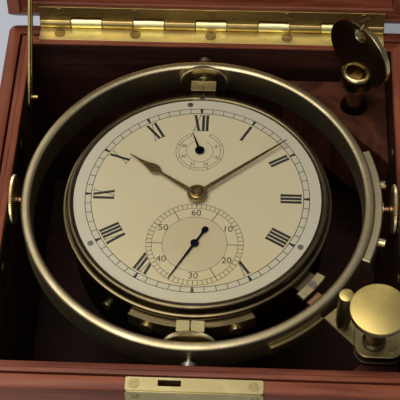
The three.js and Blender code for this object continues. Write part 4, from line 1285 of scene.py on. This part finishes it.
# ---------- winding key ----------
def make_key():
    """The key: a slotted collar on a pipe with a square socket, and a round flat bow seated in the slot."""
    bow_low, bow_high = box_mm("key_bow")
    radius = (bow_high.z - bow_low.z) / 2
    foot = box_mm("key_barrel")[1].z
    centre = middle("key_bow").z - foot
    thickness = 2.6
    across = bow_high - bow_low
    turned_by = -math.degrees(math.atan2(across.y - thickness / 2, across.x - thickness / 2))
    turn = placed(key_centre.x, key_centre.y, foot, turned_by)
    slit, hole, hole_y = 0.5, 3.3, 23.8
    start = math.degrees(math.asin(slit / radius))
    disc = arc(radius, 90 + start, 450 - start, 128, 0, centre)
    open_by = math.degrees(math.asin(slit / hole))
    keyhole = arc(hole, 90 - open_by, -270 + open_by, 40, 0, hole_y)
    mouth = centre + math.sqrt(radius ** 2 - slit ** 2) - 0.4
    outline = disc + [(slit, mouth), *keyhole, (-slit, mouth)]
    stand = turn @ placed(0, 0, 0, 90, "X")
    bm = fresh(plate, outline, -thickness / 2, thickness / 2, edge=0.3, matrix=stand)
    for face in bm.faces:
        face.material_index = 1 if len(face.verts) > 8 else 0
    build("key_disc", bm, "key", [key_brass, key_face], ["key_bow"])
    profile = [(0, -4.5), (5, -4.5), (5, -0.8), (5.3, -0.3), (5.9, 0), (6.6, -0.1), (7.2, -0.6),
               (7.5, -1.5), (7.5, -8.2), (7.2, -9.2), (6.4, -9.8), (4.3, -10), (4, -10.4), (4, -38.4),
               (3.6, -39), (0, -39)]
    slot_cut = fresh(block, (-9, -1.45, -5.8), (9, 1.45, 2), edge=0)
    socket = fresh(block, (-2, -2, -41), (2, 2, -29), edge=0)
    bm = carve(fresh(lathe, profile, None, 72), slot_cut, socket)
    moved(bm, bm.verts, turn)
    build("key_pipe", bm, "key", key_brass, ["key_barrel"])


make_key()


# ---------- CAD nodes that stay as they are ----------
def dress(material, *nodes):
    for node in nodes:
        mesh = frame["nodes"][node].data
        mesh.materials.clear()
        mesh.materials.append(material)


dress(movement_brass, "front_plate", "back_plate", "mainspring_barrel", "fusee", "centre_wheel",
      "third_wheel", "fourth_wheel", "escape_wheel", "balance_wheel")
dress(screw_steel, "detent")
dress(blued, "balance_spring")
dress(box_brass, "lock_bolt")


# ---------- floor and light ----------
def add_floor():
    bm = bmesh.new()
    bmesh.ops.create_grid(bm, x_segments=1, y_segments=1, size=3)
    mesh = bpy.data.meshes.new("floor")
    bm.to_mesh(mesh)
    bm.free()
    mesh.materials.append(painted("floor_paint", (0.60, 0.63, 0.68), 0.7))
    floor = bpy.data.objects.new("floor", mesh)
    floor.location.z = -0.0005
    bpy.context.scene.collection.objects.link(floor)


def add_light(name, position, target, size, power, colour):
    data = bpy.data.lights.new(name, "AREA")
    data.shape = "RECTANGLE"
    data.size, data.size_y = size
    data.energy = power
    data.color = colour
    light = bpy.data.objects.new(name, data)
    light.location = position
    light.rotation_euler = (Vector(target) - Vector(position)).to_track_quat("-Z", "Y").to_euler()
    bpy.context.scene.collection.objects.link(light)


def add_world():
    world = bpy.data.worlds.new("studio")
    world.use_nodes = True
    background = world.node_tree.nodes["Background"]
    background.inputs[0].default_value = (0.62, 0.68, 0.78, 1)
    background.inputs[1].default_value = 0.22
    bpy.context.scene.world = world


add_floor()
add_world()
above = (0, 0, 0.1)
add_light("top_softbox", (-0.28, -0.1, 1.25), above, (1.1, 0.8), 10.5, (1, 0.98, 0.95))
add_light("back_card", (-0.2, 1.1, 1.0), above, (1.3, 0.6), 3.6, (1, 0.97, 0.93))
add_light("front_fill", (-0.4, -1.1, 0.8), above, (0.8, 0.6), 2.6, (0.96, 0.98, 1))
bpy.context.scene.view_settings.view_transform = "Standard"
